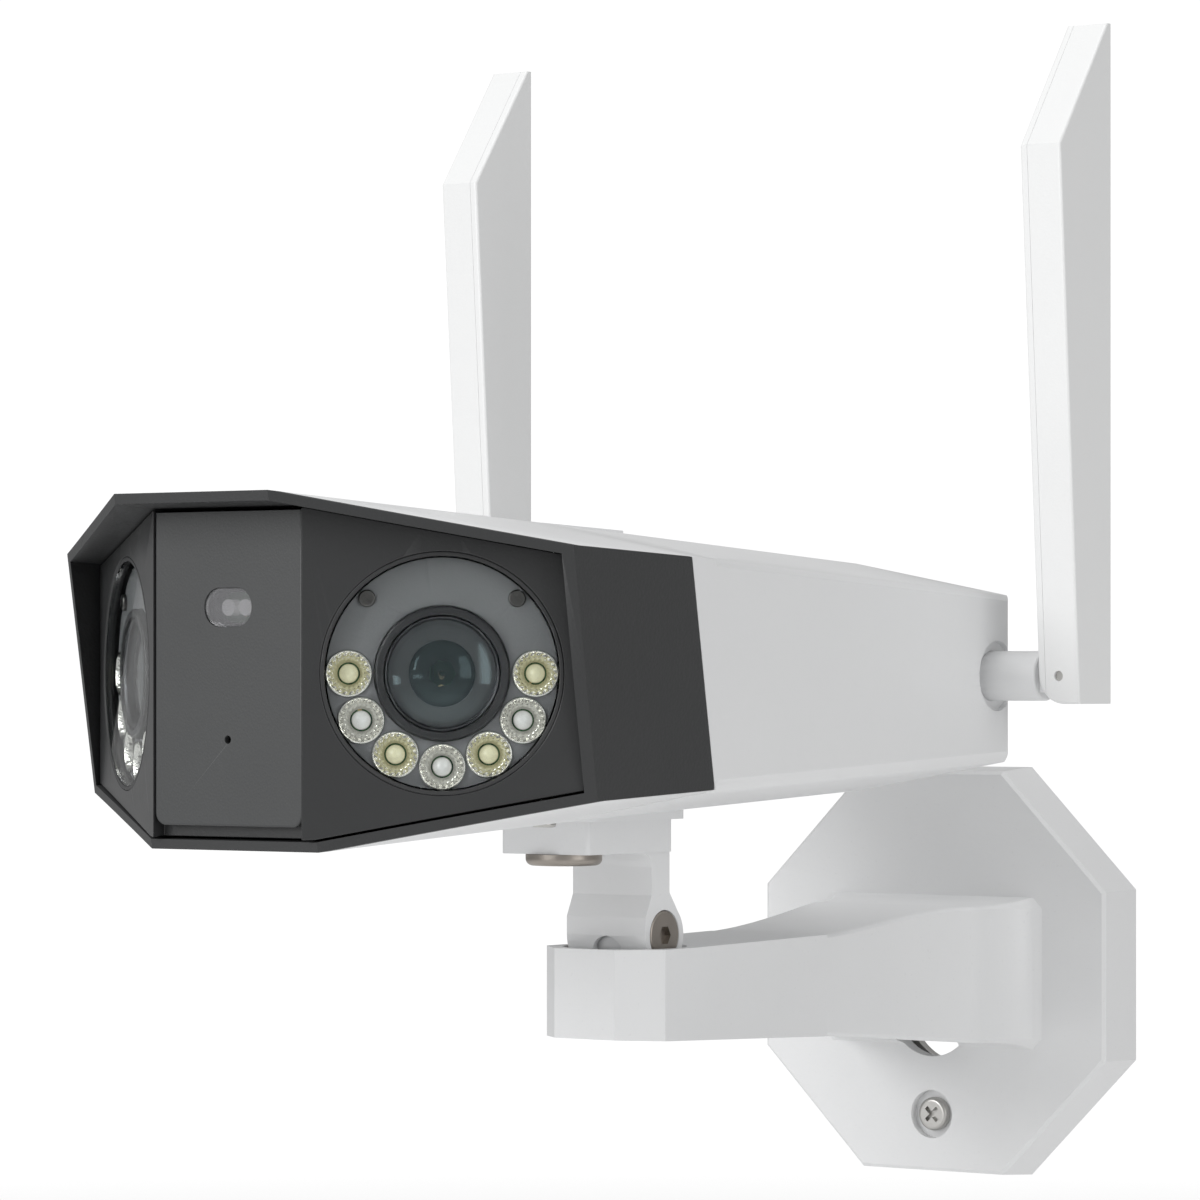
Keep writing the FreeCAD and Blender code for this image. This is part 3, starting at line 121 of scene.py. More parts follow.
class Recipe:
    """One node material under construction."""

    def __init__(self, name: str) -> None:
        """Start an empty material.

        Args:
            name: the material's name.
        """
        self.material = bpy.data.materials.new(name)
        self.material.use_nodes = True
        self.tree = self.material.node_tree
        self.tree.nodes.clear()
        self.output = self.tree.nodes.new("ShaderNodeOutputMaterial")
        self.place = self.node("ShaderNodeTexCoord", {}, {}, "Object")

    def node(self, kind: str, settings: Dict[str, Any], inputs: Dict[Any, Any],
             output: Union[int, str] = 0) -> Wire:
        """Add any node.

        Args:
            kind: the node's type.
            settings: attributes that are set first.
            inputs: values or wires by socket name or number.
            output: the output socket that is wanted.
        Returns:
            That output.
        """
        made = self.tree.nodes.new(kind)
        for key, value in settings.items():
            setattr(made, key, value)
        for key, value in inputs.items():
            if isinstance(value, Wire):
                self.tree.links.new(value.socket, made.inputs[key])
            else:
                made.inputs[key].default_value = value
        return Wire(self, made.outputs[output])

    def stretched(self, scale: Triple) -> Wire:
        """Object coordinates multiplied by a scale along each axis."""
        factors = {0: self.place, 1: scale}
        return self.node("ShaderNodeVectorMath", {"operation": "MULTIPLY"}, factors)

    def noise(self, size: float, detail: float = 2.0, place: Optional[Wire] = None) -> Wire:
        """Noise between 0 and 1 whose features are about size metres across."""
        inputs = {"Vector": place or self.place, "Scale": 1.0 / size, "Detail": detail}
        return self.node("ShaderNodeTexNoise", {}, inputs)

    def cells(self, size: float) -> Wire:
        """Distance to the nearest cell centre, for grain about size metres across."""
        inputs = {"Vector": self.place, "Scale": 1.0 / size}
        return self.node("ShaderNodeTexVoronoi", {}, inputs)

    def blend(self, mask: Number, low: Any, high: Any) -> Wire:
        """Mix two colours by a mask, through the Mix node's colour sockets."""
        values = {MIX_FACTOR: mask, MIX_LOW: self._colour(low), MIX_HIGH: self._colour(high)}
        return self.node("ShaderNodeMix", {"data_type": "RGBA"}, values, MIX_RESULT)

    @staticmethod
    def _colour(value: Any) -> Any:
        """Give a plain colour its fourth channel."""
        return value if isinstance(value, Wire) else (*value, 1.0)

    def bump(self, height: Wire, depth: float, below: Optional[Wire] = None) -> Wire:
        """Add a Bump node.

        Args:
            height: the height, between 0 and 1.
            depth: how tall a height of 1 is, in metres.
            below: the normal that it is laid over.
        Returns:
            The surface normal.
        """
        inputs: Dict[str, Any] = {"Height": height, "Distance": depth, "Strength": 1.0}
        if below is not None:
            inputs["Normal"] = below
        return self.node("ShaderNodeBump", {}, inputs)

    def surface(self, **sockets: Any) -> bpy.types.Material:
        """Finish with a Principled shader.

        Args:
            sockets: values or wires, named as the shader's sockets with _ for a space.
        Returns:
            The material.
        """
        inputs = {}
        for key, value in sockets.items():
            name = key.replace("_", " ")
            plain_colour = name in ("Base Color", "Emission Color") and not isinstance(value, Wire)
            inputs[name] = self._colour(value) if plain_colour else value
        shader = self.node("ShaderNodeBsdfPrincipled", {}, inputs)
        self.tree.links.new(shader.socket, self.output.inputs["Surface"])
        return self.material


# ---------------------------------------------------------------- finishes
def shade(colour: Colour, factor: float) -> Colour:
    """A colour made lighter or darker."""
    return (colour[0] * factor, colour[1] * factor, colour[2] * factor)


@dataclass(frozen=True)
class Moulded:
    """Injection-moulded plastic with a fine spark-eroded grain."""

    name: str
    colour: Colour
    roughness: float = 0.45
    grain: float = 0.00045
    grain_depth: float = 0.000012
    mottle: float = 0.03
    coat: float = 0.0
    coat_roughness: float = 0.25
    ior: float = 1.47
    cloud_size: float = 0.02
    speck_size: float = 0.0012
    speck_level: float = 0.62
    speck_softness: float = 0.2
    speck_strength: float = 0.35
    speck_darkness: float = 2.5
    smear_size: float = 0.012
    smear_stretch: Triple = (1.0, 0.45, 1.8)
    smear_gloss: float = 0.12
    wave_size: float = 0.004

    def make(self) -> bpy.types.Material:
        """Make the material.

        Returns:
            The node material.
        """
        r = Recipe(self.name)
        light, dark = shade(self.colour, 1 + self.mottle), shade(self.colour, 1 - self.mottle)
        cloud = r.noise(self.cloud_size, detail=3.0)
        speck = r.noise(self.speck_size)
        tone = r.blend(cloud, dark, light)
        marks = speck.above(self.speck_level, self.speck_softness) * self.speck_strength
        tone = r.blend(marks, tone, shade(self.colour, 1 - self.speck_darkness * self.mottle))
        smear = r.noise(self.smear_size, detail=4.0, place=r.stretched(self.smear_stretch))
        gloss = self.roughness - self.smear_gloss / 2 + smear * self.smear_gloss
        cells = r.cells(self.grain)
        waves = r.bump(r.noise(self.wave_size), self.grain_depth)
        return r.surface(Base_Color=tone, Roughness=gloss,
                         Normal=r.bump(cells, self.grain_depth, waves), Coat_Weight=self.coat,
                         Coat_Roughness=self.coat_roughness, IOR=self.ior)


@dataclass(frozen=True)
class PowderCoat:
    """Sprayed and baked coat on a casting, with a soft orange-peel surface."""

    name: str
    colour: Colour
    roughness: float = 0.42
    peel: float = 0.0011
    peel_depth: float = 0.00003
    swell: float = 6.0
    cloud_size: float = 0.03
    cloud_gloss: float = 0.1
    darkest: float = 0.965
    lightest: float = 1.02
    pit_size: float = 0.0006
    pit_level: float = 0.68
    pit_softness: float = 0.12
    pit_strength: float = 0.3
    pit_shade: float = 0.85
    coat: float = 0.15
    coat_roughness: float = 0.3

    def make(self) -> bpy.types.Material:
        """Make the material.

        Returns:
            The node material.
        """
        r = Recipe(self.name)
        cloud = r.noise(self.cloud_size, detail=3.0)
        tone = r.blend(cloud, shade(self.colour, self.darkest), shade(self.colour, self.lightest))
        pits = r.noise(self.pit_size, detail=1.0).above(self.pit_level, self.pit_softness)
        tone = r.blend(pits * self.pit_strength, tone, shade(self.colour, self.pit_shade))
        peel = r.noise(self.peel)
        skin = r.bump(peel, self.peel_depth, r.bump(cloud, self.peel_depth * self.swell))
        gloss = self.roughness - self.cloud_gloss / 2 + cloud * self.cloud_gloss
        return r.surface(Base_Color=tone, Roughness=gloss, Normal=skin, Coat_Weight=self.coat,
                         Coat_Roughness=self.coat_roughness)


@dataclass(frozen=True)
class Metal:
    """Turned or plated metal with fine tool marks."""

    name: str
    colour: Colour
    roughness: float = 0.3
    stretch: Triple = (1.0, 1.0, 14.0)
    stain: float = 0.12
    streak_size: float = 0.0025
    streak_gloss: float = 0.1
    streak_depth: float = 0.000012
    patch_size: float = 0.004
    patch_gloss: float = 0.08

    def make(self) -> bpy.types.Material:
        """Make the material.

        Returns:
            The node material.
        """
        r = Recipe(self.name)
        light, dark = shade(self.colour, 1 + self.stain / 2), shade(self.colour, 1 - self.stain)
        streak = r.noise(self.streak_size, detail=3.0, place=r.stretched(self.stretch))
        patch = r.noise(self.patch_size, detail=4.0)
        tone = r.blend(patch, dark, light)
        gloss = self.roughness - self.patch_gloss + streak * self.streak_gloss
        gloss = gloss + patch * self.patch_gloss
        return r.surface(Base_Color=tone, Metallic=1.0, Roughness=gloss,
                         Normal=r.bump(streak, self.streak_depth))


@dataclass(frozen=True)
class ClearPane:
    """Clear or smoked pane with faint dust and wipe marks."""

    name: str
    tint: Colour
    transmission: float = 1.0
    roughness: float = 0.02
    ior: float = 1.49
    coat: float = 0.2
    coat_roughness: float = 0.02
    wipe_size: float = 0.006
    wipe_stretch: Triple = (1.0, 1.0, 3.0)
    wipe_gloss: float = 0.03
    wipe_depth: float = 0.000002
    dust_size: float = 0.0006
    dust_level: float = 0.72
    dust_softness: float = 0.05
    dust_strength: float = 0.08
    dust_shade: float = 0.8
    dust_gloss: float = 0.05

    def make(self) -> bpy.types.Material:
        """Make the material.

        Returns:
            The node material.
        """
        r = Recipe(self.name)
        wipe = r.noise(self.wipe_size, detail=4.0, place=r.stretched(self.wipe_stretch))
        dust = r.noise(self.dust_size, detail=1.0).above(self.dust_level, self.dust_softness)
        tone = r.blend(dust * self.dust_strength, self.tint, shade(self.tint, self.dust_shade))
        gloss = self.roughness + wipe * self.wipe_gloss + dust * self.dust_gloss
        return r.surface(Base_Color=tone, Roughness=gloss,
                         Transmission_Weight=self.transmission, IOR=self.ior,
                         Normal=r.bump(wipe, self.wipe_depth), Coat_Weight=self.coat,
                         Coat_Roughness=self.coat_roughness)


@dataclass(frozen=True)
class CoatedLens:
    """Lens glass with a thin green anti-reflection coat."""

    name: str
    tint: Colour
    bloom: Colour
    ior: float = 1.42
    roughness: float = 0.005
    haze_size: float = 0.003
    haze_level: float = 0.5
    haze_softness: float = 0.4
    haze_strength: float = 0.3
    haze_shade: float = 0.92
    haze_gloss: float = 0.01
    haze_depth: float = 0.0000005

    def make(self) -> bpy.types.Material:
        """Make the material.

        Returns:
            The node material.
        """
        r = Recipe(self.name)
        haze = r.noise(self.haze_size, detail=3.0)
        marks = haze.above(self.haze_level, self.haze_softness) * self.haze_strength
        tone = r.blend(marks, self.tint, shade(self.tint, self.haze_shade))
        gloss = self.roughness + haze * self.haze_gloss
        return r.surface(Base_Color=tone, Roughness=gloss, Transmission_Weight=1.0, IOR=self.ior,
                         Specular_Tint=(*self.bloom, 1.0),
                         Normal=r.bump(haze, self.haze_depth))


@dataclass(frozen=True)
class Rubber:
    """Soft black seal rubber with a pale bloom."""

    name: str
    colour: Colour
    roughness: float = 0.68
    bloom_size: float = 0.005
    bloom_level: float = 0.55
    bloom_softness: float = 0.3
    bloom_strength: float = 0.5
    bloom_shade: float = 2.0
    bloom_gloss: float = 0.15
    skin_size: float = 0.0008
    skin_depth: float = 0.00003

    def make(self) -> bpy.types.Material:
        """Make the material.

        Returns:
            The node material.
        """
        r = Recipe(self.name)
        bloom = r.noise(self.bloom_size, detail=4.0)
        marks = bloom.above(self.bloom_level, self.bloom_softness) * self.bloom_strength
        tone = r.blend(marks, self.colour, shade(self.colour, self.bloom_shade))
        gloss = self.roughness + bloom * self.bloom_gloss
        return r.surface(Base_Color=tone, Roughness=gloss,
                         Normal=r.bump(r.noise(self.skin_size), self.skin_depth))


@dataclass(frozen=True)
class Laminate:
    """Circuit board with solder mask, copper runs and plated dots."""

    name: str
    mask: Colour
    copper: Colour = (0.10, 0.22, 0.10)
    plated: Colour = (0.75, 0.62, 0.35)
    roughness: float = 0.42
    run_offset: float = 0.37
    runs_per_metre: float = 260.0
    run_gap: float = 0.09
    run_strength: float = 0.8
    run_depth: float = 0.00003
    dot_spacing: float = 0.0021
    dot_radius: float = 0.16
    dot_softness: float = 0.03
    dot_gloss: float = 0.15

    def make(self) -> bpy.types.Material:
        """Make the material.

        Returns:
            The node material.
        """
        r = Recipe(self.name)
        bricks = {"Vector": r.place, "Scale": self.runs_per_metre, "Mortar Size": self.run_gap}
        runs = r.node("ShaderNodeTexBrick", {"offset": self.run_offset}, bricks, "Fac")
        dots = 1.0 - r.cells(self.dot_spacing).above(self.dot_radius, self.dot_softness)
        tone = r.blend(runs * self.run_strength, self.mask, self.copper)
        tone = r.blend(dots, tone, self.plated)
        return r.surface(Base_Color=tone, Roughness=self.roughness - dots * self.dot_gloss,
                         Metallic=dots, Normal=r.bump(runs, self.run_depth))


@dataclass(frozen=True)
class PhosphorChip:
    """Light chip: a phosphor square under a clear dome, with a faint painted glow."""

    name: str
    colour: Colour
    painted_glow: float = 0.25
    roughness: float = 0.16
    coat_roughness: float = 0.02
    grain: float = 0.0004
    grain_depth: float = 0.000008
    grain_gloss: float = 0.1
    darkest: float = 0.86
    lightest: float = 1.05

    def make(self) -> bpy.types.Material:
        """Make the material.

        Returns:
            The node material.
        """
        r = Recipe(self.name)
        grain = r.noise(self.grain)
        tone = r.blend(grain, shade(self.colour, self.darkest), shade(self.colour, self.lightest))
        # The emission is a painted glow that makes the chip look lit; the chip is not used as a
        # lamp.
        return r.surface(Base_Color=tone, Roughness=self.roughness + grain * self.grain_gloss,
                         Coat_Weight=1.0, Coat_Roughness=self.coat_roughness,
                         Emission_Color=tone, Emission_Strength=self.painted_glow,
                         Normal=r.bump(grain, self.grain_depth))


Finish = Union[Moulded, PowderCoat, Metal, ClearPane, CoatedLens, Rubber, Laminate, PhosphorChip]

WHITE_SHELL = Moulded("white_shell", (0.79, 0.795, 0.80), roughness=0.40, mottle=0.015)
WHITE_ANTENNA = Moulded("white_antenna", (0.82, 0.825, 0.825), roughness=0.36, mottle=0.012)
WHITE_CAST = PowderCoat("white_cast", (0.78, 0.785, 0.79))
BLACK_SHELL = Moulded("black_shell", (0.034, 0.035, 0.036), roughness=0.47, grain=0.0006,
                      grain_depth=0.00003, mottle=0.08)
BLACK_FACE = Moulded("black_face", (0.034, 0.035, 0.036), roughness=0.34, grain=0.0004,
                     mottle=0.06, coat=0.1)
GREY_PANEL = Moulded("grey_panel", (0.050, 0.052, 0.053), roughness=0.42, mottle=0.05)
RING_GREY = Moulded("ring_grey", (0.235, 0.238, 0.245), roughness=0.44, mottle=0.05)
LENS_BLACK = Moulded("lens_black", (0.040, 0.041, 0.043), roughness=0.38, grain=0.0003,
                     mottle=0.1)
LENS_GREY = Metal("lens_grey", (0.11, 0.112, 0.118), roughness=0.38, stain=0.05)
BLACK_CHIP = Moulded("black_chip", (0.025, 0.025, 0.027), roughness=0.55, mottle=0.1)
SMOKED = ClearPane("smoked_window", (0.62, 0.62, 0.64), transmission=0.82, roughness=0.05)
CLEAR = ClearPane("clear_window", (0.93, 0.95, 0.95), ior=1.12, coat=0.0)
LENS_GLASS = CoatedLens("lens_glass", (0.93, 0.95, 0.96), (0.72, 0.94, 0.98))
LENS_CONE = Moulded("lens_cone", (0.20, 0.20, 0.205), roughness=0.3, grain_depth=0.000002)
IRIS_BLACK = Moulded("iris_black", (0.018, 0.018, 0.020), roughness=0.3, grain_depth=0.000001)
REFLECTOR = Metal("reflector", (0.82, 0.81, 0.76), roughness=0.16, stain=0.05)
STEEL = Metal("steel", (0.56, 0.55, 0.53), roughness=0.32)
BRONZED = Metal("bronzed_steel", (0.38, 0.345, 0.31), roughness=0.36, stretch=(8.0, 1.0, 1.0))
DARK_METAL = Metal("dark_metal", (0.16, 0.155, 0.15), roughness=0.34)
BRASS = Metal("brass", (0.74, 0.56, 0.26), roughness=0.3)
ALUMINIUM = Metal("aluminium", (0.62, 0.63, 0.65), roughness=0.38)
BOARD = Laminate("circuit_board", (0.012, 0.075, 0.035))
SEAL = Rubber("seal_rubber", (0.022, 0.022, 0.023))
# Both chip finishes give a faint painted glow.
WARM_LIGHT = PhosphorChip("warm_chip", (0.80, 0.77, 0.52))
PALE_LIGHT = PhosphorChip("pale_chip", (0.78, 0.78, 0.76))


class Workshop:
    """Keeps one material for each finish and puts it on nodes and pieces."""

    WELD_DISTANCE = 0.01 * MM
    EDGE_SEGMENTS = 2
    SHARP = math.radians(32)

    def __init__(self, nodes: Dict[str, bpy.types.Object]) -> None:
        """Start with the frame's nodes and no materials."""
        self.nodes = nodes
        self.made: Dict[str, bpy.types.Material] = {}

    def material(self, finish: Finish) -> bpy.types.Material:
        """The material of a finish, made once."""
        if finish.name not in self.made:
            self.made[finish.name] = finish.make()
        return self.made[finish.name]

    def coat(self, finish: Finish, *names: str) -> None:
        """Give CAD nodes a finish.

        Args:
            finish: the finish.
            names: the nodes.
        """
        for name in names:
            piece = self.nodes[name]
            material = self.material(finish)
            if not piece.material_slots:
                piece.data.materials.append(material)
            for index in range(len(piece.data.materials)):
                piece.data.materials[index] = material
            LOG.info("finished %s in %s", name, finish.name)

    def soften(self, width: float, *names: str) -> None:
        """Break the sharp edges of CAD nodes.

        Args:
            width: the width of the broken edge, in metres.
            names: the nodes.
        """
        for name in names:
            piece = self.nodes[name]
            weld = piece.modifiers.new("weld", "WELD")
            weld.merge_threshold = self.WELD_DISTANCE
            edge = piece.modifiers.new("edge", "BEVEL")
            edge.width = width
            edge.segments = self.EDGE_SEGMENTS
            edge.limit_method = "ANGLE"
            edge.angle_limit = self.SHARP
            edge.harden_normals = True

    def piece(self, name: str, mesh: bmesh.types.BMesh, finish: Finish, body: str,
              slot: str) -> bpy.types.Object:
        """Turn mesh data into a finished piece.

        Args:
            name: the piece's name.
            mesh: its geometry, which is freed.
            finish: its finish.
            body: the body it rides on.
            slot: the record's material slot; it is not used.
        Returns:
            The new object.
        """
        data = bpy.data.meshes.new(name)
        bmesh.ops.recalc_face_normals(mesh, faces=mesh.faces)
        mesh.to_mesh(data)
        mesh.free()
        data.materials.append(self.material(finish))
        made = bpy.data.objects.new(name, data)
        bpy.context.scene.collection.objects.link(made)
        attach(made, body)
        LOG.info("built %s", name)
        return made


# ---------------------------------------------------------------- shapes
Profile = Tuple[Tuple[float, float], ...]
Reach = Callable[[int, int, float], float]


def lathe(mesh: bmesh.types.BMesh, profile: Profile, place: Matrix, count: int,
          radius: Reach) -> None:
    """Turn a closed profile about the local Z axis, with flat faces.

    Args:
        mesh: the mesh that receives the faces.
        profile: (radius, height) corners in millimetres, going round the section.
        place: the matrix from the local frame to the row frame.
        count: how many steps go round.
        radius: gives a corner's radius, from its number, the step and its radius in the profile.
    """
    rings: List[List[bmesh.types.BMVert]] = []
    for step in range(count):
        turn = 2 * math.pi * step / count
        ring = []
        for corner, (reach, height) in enumerate(profile):
            r = radius(corner, step, reach * MM)
            spot = Vector((r * math.cos(turn), r * math.sin(turn), height * MM))
            ring.append(mesh.verts.new(place @ spot))
        rings.append(ring)
    for step, ring in enumerate(rings):
        after = rings[(step + 1) % count]
        for corner in range(len(profile)):
            follow = (corner + 1) % len(profile)
            mesh.faces.new((ring[corner], after[corner], after[follow], ring[follow]))


# ---------------------------------------------------------------- sub-assemblies
@dataclass
class CameraShell:
    """White housing, black shroud and everything at the rear of the body."""

    shop: Workshop
    edge: float = 0.35 * MM
    fine_edge: float = 0.15 * MM

    def build(self) -> None:
        """Break the shell's edges."""
        self.shop.soften(self.edge, "housing", "front_shroud")
        self.shop.soften(self.fine_edge, "rear_cover", "card_cover", "cable_gland", "mount_insert")

    def dress(self) -> None:
        """Finish every node of the shell."""
        self.shop.coat(WHITE_SHELL, "housing", "rear_cover", "card_cover")
        self.shop.coat(BLACK_SHELL, "front_shroud")
        self.shop.coat(SEAL, "front_gasket", "cover_gaskets", "cable_gland")
        self.shop.coat(STEEL, "cover_screws", "gland_nut", "antenna_clips")
        self.shop.coat(BRONZED, "foot_screw")
        self.shop.coat(BRASS, "mount_insert")


@dataclass
class Electronics:
    """Chassis, boards, speaker, card socket and reset button inside the shell."""

    shop: Workshop

    def dress(self) -> None:
        """Finish every inner node."""
        self.shop.coat(BLACK_SHELL, "chassis", "reset_button")
        self.shop.coat(BLACK_CHIP, "board_chips", "speaker", "button_housing")
        self.shop.coat(STEEL, "chassis_screws", "card_socket")
        self.shop.coat(BOARD, "main_board")
        self.shop.coat(ALUMINIUM, "heat_sink")


@dataclass
class FrontWall:
    """Faceted fascia, centre panel and the sensors behind it."""

    shop: Workshop
    edge: float = 0.15 * MM

    def build(self) -> None:
        """Break the front wall's edges."""
        self.shop.soften(self.edge, "fascia", "centre_panel", "window_rings")

    def dress(self) -> None:
        """Finish every node of the front wall."""
        self.shop.coat(BLACK_FACE, "fascia")
        self.shop.coat(BLACK_SHELL, "window_rings")
        self.shop.coat(GREY_PANEL, "centre_panel")
        self.shop.coat(SMOKED, "sensor_window")
        self.shop.coat(BOARD, "sensor_board")
        self.shop.coat(DARK_METAL, "microphone")
        # The light sensor gets the chip finish and with it a painted glow.
        self.shop.coat(PALE_LIGHT, "light_sensor")


@dataclass
class LensModules:
    """Two round windows with a lens and a ring of lights behind each."""

    shop: Workshop
    centre: Triple = (32.12 * MM, -201.49 * MM, 55.39 * MM)
    turn: float = math.radians(37.7)
    light_ring: float = 14.45 * MM
    light_angles: Tuple[int, ...] = (180, 210, 240, 270, 300, 330, 360)
    cup_facets: int = 20
    cup_profile: Profile = (
        (3.58, -6.15), (3.58, -2.62), (3.40, -2.58), (3.28, -2.72), (2.95, -3.25), (2.62, -3.85),
        (2.50, -3.92), (2.20, -4.45), (1.75, -5.55), (1.72, -6.15))
    facet_corners: Tuple[int, ...] = (4, 5, 7)
    facet_depth: float = 0.93
    iris_profile: Profile = ((6.5, -9.3), (6.5, -9.0), (1.9, -9.15), (1.9, -9.3))
    iris_hole: Tuple[int, ...] = (2, 3)
    iris_blades: int = 7
    iris_steps: int = 6
    edge: float = 0.1 * MM

    def frame_of(self, side: Side) -> Matrix:
        """The window's own frame, with Z pointing outwards.

        Args:
            side: the half of the camera.
        Returns:
            The matrix from the window's frame to the row frame.
        """
        sign = side.value
        across = Vector((math.cos(self.turn), sign * math.sin(self.turn), 0.0))
        outward = Vector((sign * math.sin(self.turn), -math.cos(self.turn), 0.0))
        x, y, z = self.centre
        rows = Matrix((across, Vector((0.0, 0.0, 1.0)), outward)).transposed().to_4x4()
        return Matrix.Translation((sign * x, y, z)) @ rows

    def cups(self, side: Side) -> bpy.types.Object:
        """Make the faceted reflector cups of one window.

        Args:
            side: the half of the camera.
        Returns:
            The cups, as one piece.
        """
        mesh = bmesh.new()

        def facet(corner: int, step: int, reach: float) -> float:
            """Pull every second step of the cup's wall inwards."""
            return reach * (self.facet_depth if corner in self.facet_corners and step % 2 else 1.0)

        for angle in self.light_angles:
            turn = math.radians(angle)
            along, up = self.light_ring * math.cos(turn), self.light_ring * math.sin(turn)
            place = self.frame_of(side) @ Matrix.Translation((along, up, 0.0))
            lathe(mesh, self.cup_profile, place, 2 * self.cup_facets, facet)
        name = side.name.lower() + "_reflector_cups"
        return self.shop.piece(name, mesh, REFLECTOR, "camera", "reflector")

    def iris(self, side: Side) -> bpy.types.Object:
        """Make the iris behind one lens, a thin ring whose hole has a flat side for each blade.

        Args:
            side: the half of the camera.
        Returns:
            The iris.
        """
        mesh = bmesh.new()
        half = math.pi / self.iris_blades

        def blade(corner: int, step: int, reach: float) -> float:
            """Flatten the hole between the blades' corners.

            Args:
                corner: the corner's number in the profile.
                step: the step round the axis.
                reach: the radius in the profile.
            Returns:
                The radius of that corner at that step.
            """
            if corner not in self.iris_hole:
                return reach
            part = (step % self.iris_steps) / self.iris_steps - 0.5
            return reach * math.cos(half) / math.cos(2 * math.pi * part / self.iris_blades)

        lathe(mesh, self.iris_profile, self.frame_of(side), self.iris_blades * self.iris_steps,
              blade)
        name = side.name.lower() + "_iris"
        return self.shop.piece(name, mesh, IRIS_BLACK, "camera", "lens_black")

    def build(self) -> None:
        """Make the reflector cups and the irises, and break the edges round them."""
        cups = [self.cups(side) for side in Side]
        for cup in cups:
            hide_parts("led_reflectors")
        for side in Side:
            self.iris(side)
        self.shop.soften(self.edge, "ring_plates", "lens_barrels", "lens_collars", "ring_screws")

    def dress(self) -> None:
        """Finish every node of the lens modules."""
        self.shop.coat(CLEAR, "window_glasses")
        self.shop.coat(RING_GREY, "ring_plates")
        self.shop.coat(LENS_BLACK, "lens_barrels", "lens_holders")
        self.shop.coat(LENS_CONE, "lens_baffles")
        self.shop.coat(LENS_GREY, "lens_collars")
        self.shop.coat(LENS_GLASS, "lens_glasses")
        self.shop.coat(DARK_METAL, "ring_screws")
        self.shop.coat(BOARD, "led_boards", "image_sensors")
        self.shop.coat(WARM_LIGHT, "white_lights")
        self.shop.coat(PALE_LIGHT, "infrared_lights")


@dataclass
class Antennas:
    """Two blade antennas on turning stems."""

    shop: Workshop
    edge: float = 0.25 * MM

    def build(self) -> None:
        """Break the blades' and stems' edges."""
        for side in Side:
            name = side.name.lower() + "_antenna_"
            shells = (name + "inner_shell", name + "outer_shell")
            self.shop.soften(self.edge, *shells, name + "stem")

    def dress(self) -> None:
        """Finish every antenna node."""
        for side in Side:
            name = side.name.lower() + "_antenna_"
            self.shop.coat(WHITE_ANTENNA, name + "inner_shell", name + "outer_shell")
            self.shop.coat(WHITE_SHELL, name + "stem")
            self.shop.coat(STEEL, name + "pin")
            self.shop.coat(BOARD, name + "aerial")


@dataclass
class Bracket:
    """Wall plate, arm, pan turret and tilting leg."""

    shop: Workshop
    edge: float = 0.4 * MM
    fine_edge: float = 0.2 * MM

    def build(self) -> None:
        """Break the castings' edges."""
        self.shop.soften(self.edge, "bracket_arm", "mounting_leg")
        self.shop.soften(self.fine_edge, "pan_knuckle", "wall_plate")

    def dress(self) -> None:
        """Finish every node of the bracket."""
        self.shop.coat(WHITE_CAST, "bracket_arm", "mounting_leg", "pan_knuckle")
        self.shop.coat(STEEL, "wall_plate", "lock_screw", "pan_screw", "pan_washer")
        self.shop.coat(BRONZED, "tilt_bolt", "tilt_nut")


# ---------------------------------------------------------------- studio
@dataclass(frozen=True)
class SoftBox:
    """A rectangular area light."""

    name: str
    place: Triple
    size: Tuple[float, float]
    power: float

    def build(self, target: Vector) -> None:
        """Make the light.

        Args:
            target: the point that it faces.
        """
        lamp = bpy.data.lights.new(self.name, "AREA")
        lamp.shape = "RECTANGLE"
        lamp.size, lamp.size_y = self.size
        lamp.energy = self.power
        made = bpy.data.objects.new(self.name, lamp)
        made.location = self.place
        made.rotation_euler = (target - Vector(self.place)).to_track_quat("-Z", "Y").to_euler()
        bpy.context.scene.collection.objects.link(made)


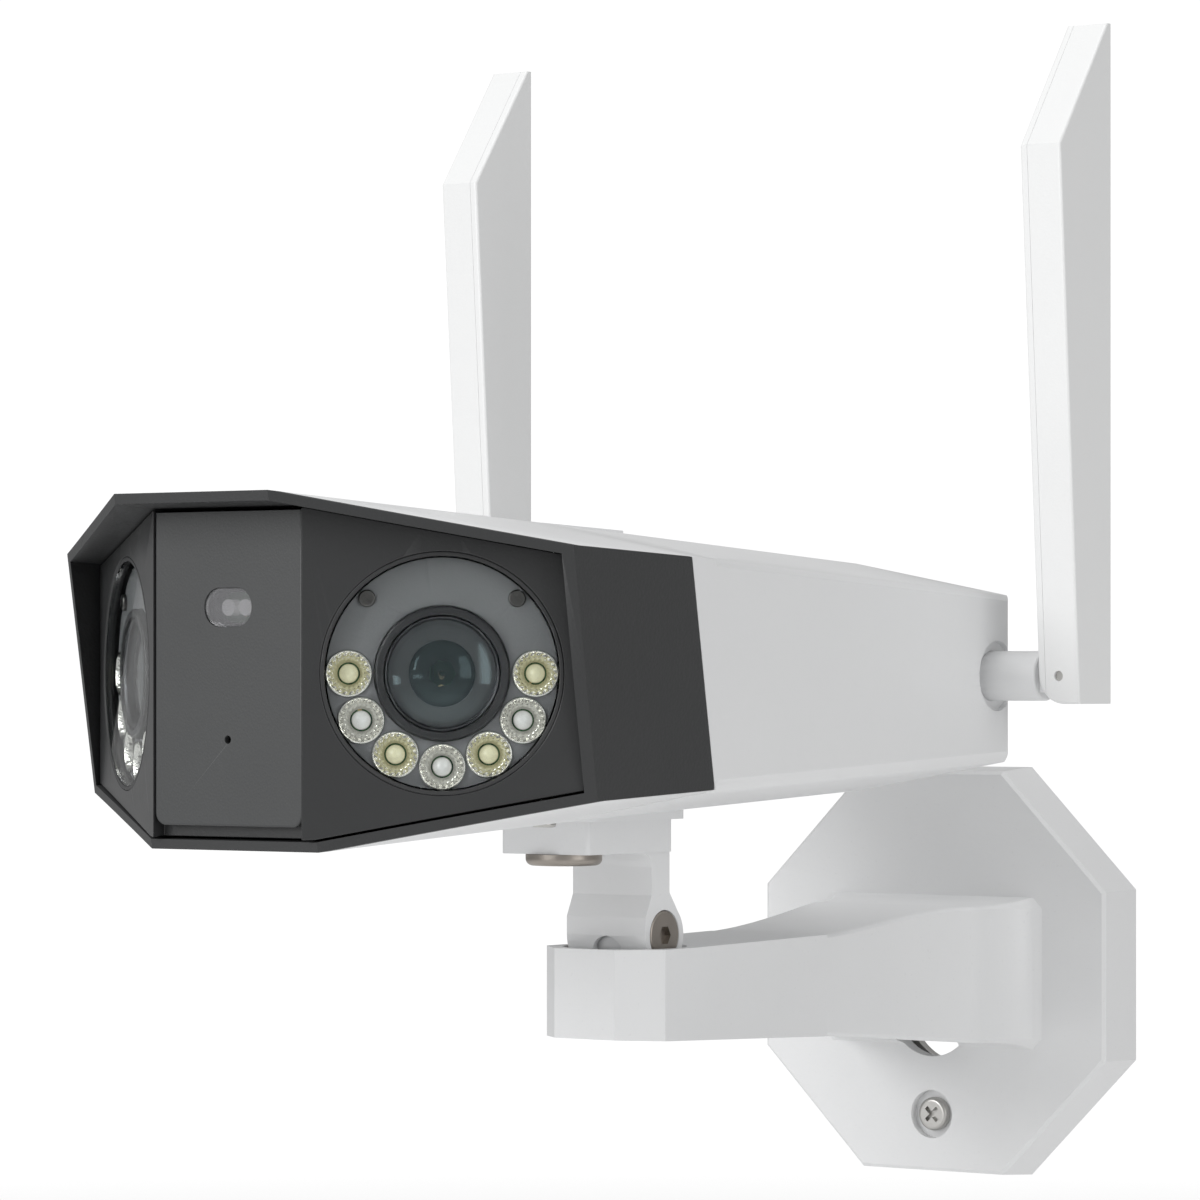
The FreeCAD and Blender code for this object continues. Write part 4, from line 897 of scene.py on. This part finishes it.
@dataclass
class Studio:
    """Pale floor, soft lights and the viewing camera."""

    eye: Vector = Vector((0.5314, -0.8492, 0.0552))
    look: Vector = Vector((-0.5867, 0.8098, 0.0))
    lens: float = 159.3
    sensor: float = 36.0
    shift: float = 0.0623
    nearest: float = 0.01
    middle: Vector = Vector((0.0, -0.11, 0.06))
    floor_z: float = -0.11
    floor_radius: float = 3.0
    floor_steps: int = 96
    floor_tone: float = 0.95
    fade_start: float = 0.22
    fade_width: float = 0.7
    ambient: float = 0.37
    backdrop: float = 1.05
    boxes: Tuple[SoftBox, ...] = (
        SoftBox("key", (-0.5, -1.6, 0.7), (1.0, 1.0), 16.5),
        SoftBox("top", (0.1, -0.15, 1.5), (1.2, 1.2), 8.0),
        SoftBox("fill", (1.5, -0.4, 0.3), (0.9, 0.9), 5.4),
        SoftBox("low", (-0.2, -1.1, -0.02), (0.7, 0.1), 0.7))

    def floor(self) -> None:
        """A round pale floor that fades out before its edge."""
        centre = (0, self.middle.y, self.floor_z)
        bpy.ops.mesh.primitive_circle_add(vertices=self.floor_steps, radius=self.floor_radius,
                                          fill_type="NGON", location=centre)
        plane = bpy.context.active_object
        plane.name = "studio_floor"
        r = Recipe("studio_floor")
        reach = r.node("ShaderNodeVectorMath", {"operation": "LENGTH"}, {0: r.place}, "Value")
        fade = reach.above(self.fade_start, self.fade_width)
        tone = (self.floor_tone, self.floor_tone, self.floor_tone, 1.0)
        pale = r.node("ShaderNodeBsdfDiffuse", {}, {"Color": tone})
        clear = r.node("ShaderNodeBsdfTransparent", {}, {})
        mixed = r.node("ShaderNodeMixShader", {}, {0: fade, 1: pale, 2: clear})
        r.tree.links.new(mixed.socket, r.output.inputs["Surface"])
        plane.data.materials.append(r.material)

    def world(self) -> None:
        """White surroundings, dimmer as a light than as a backdrop."""
        world = bpy.data.worlds.new("studio")
        bpy.context.scene.world = world
        world.use_nodes = True
        tree = world.node_tree
        tree.nodes.clear()
        path = tree.nodes.new("ShaderNodeLightPath")
        level = tree.nodes.new("ShaderNodeMapRange")
        level.inputs["To Min"].default_value = self.ambient
        level.inputs["To Max"].default_value = self.backdrop
        back = tree.nodes.new("ShaderNodeBackground")
        back.inputs["Color"].default_value = (1.0, 1.0, 1.0, 1.0)
        out = tree.nodes.new("ShaderNodeOutputWorld")
        tree.links.new(path.outputs["Is Camera Ray"], level.inputs["Value"])
        tree.links.new(level.outputs["Result"], back.inputs["Strength"])
        tree.links.new(back.outputs["Background"], out.inputs["Surface"])

    def camera(self) -> None:
        """The viewing camera, level and shifted up."""
        data = bpy.data.cameras.new("view")
        data.lens = self.lens
        data.sensor_width = self.sensor
        data.shift_y = self.shift
        data.clip_start = self.nearest
        made = bpy.data.objects.new("view", data)
        made.location = self.eye
        made.rotation_euler = self.look.to_track_quat("-Z", "Y").to_euler()
        bpy.context.scene.collection.objects.link(made)
        bpy.context.scene.camera = made

    def build(self) -> None:
        """Set up the whole studio."""
        self.floor()
        self.world()
        for box in self.boxes:
            box.build(self.middle)
        self.camera()
        bpy.context.scene.view_settings.view_transform = "Standard"


def main() -> None:
    """Load the frame, build and dress every sub-assembly, and set the studio."""
    logging.basicConfig(level=logging.INFO, format="%(name)s: %(message)s")
    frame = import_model()
    Studio().build()
    shop = Workshop(frame["nodes"])
    for kind in (CameraShell, FrontWall, LensModules, Antennas, Bracket):
        assembly = kind(shop)
        assembly.build()
        assembly.dress()
    Electronics(shop).dress()


if __name__ == "__main__":
    main()
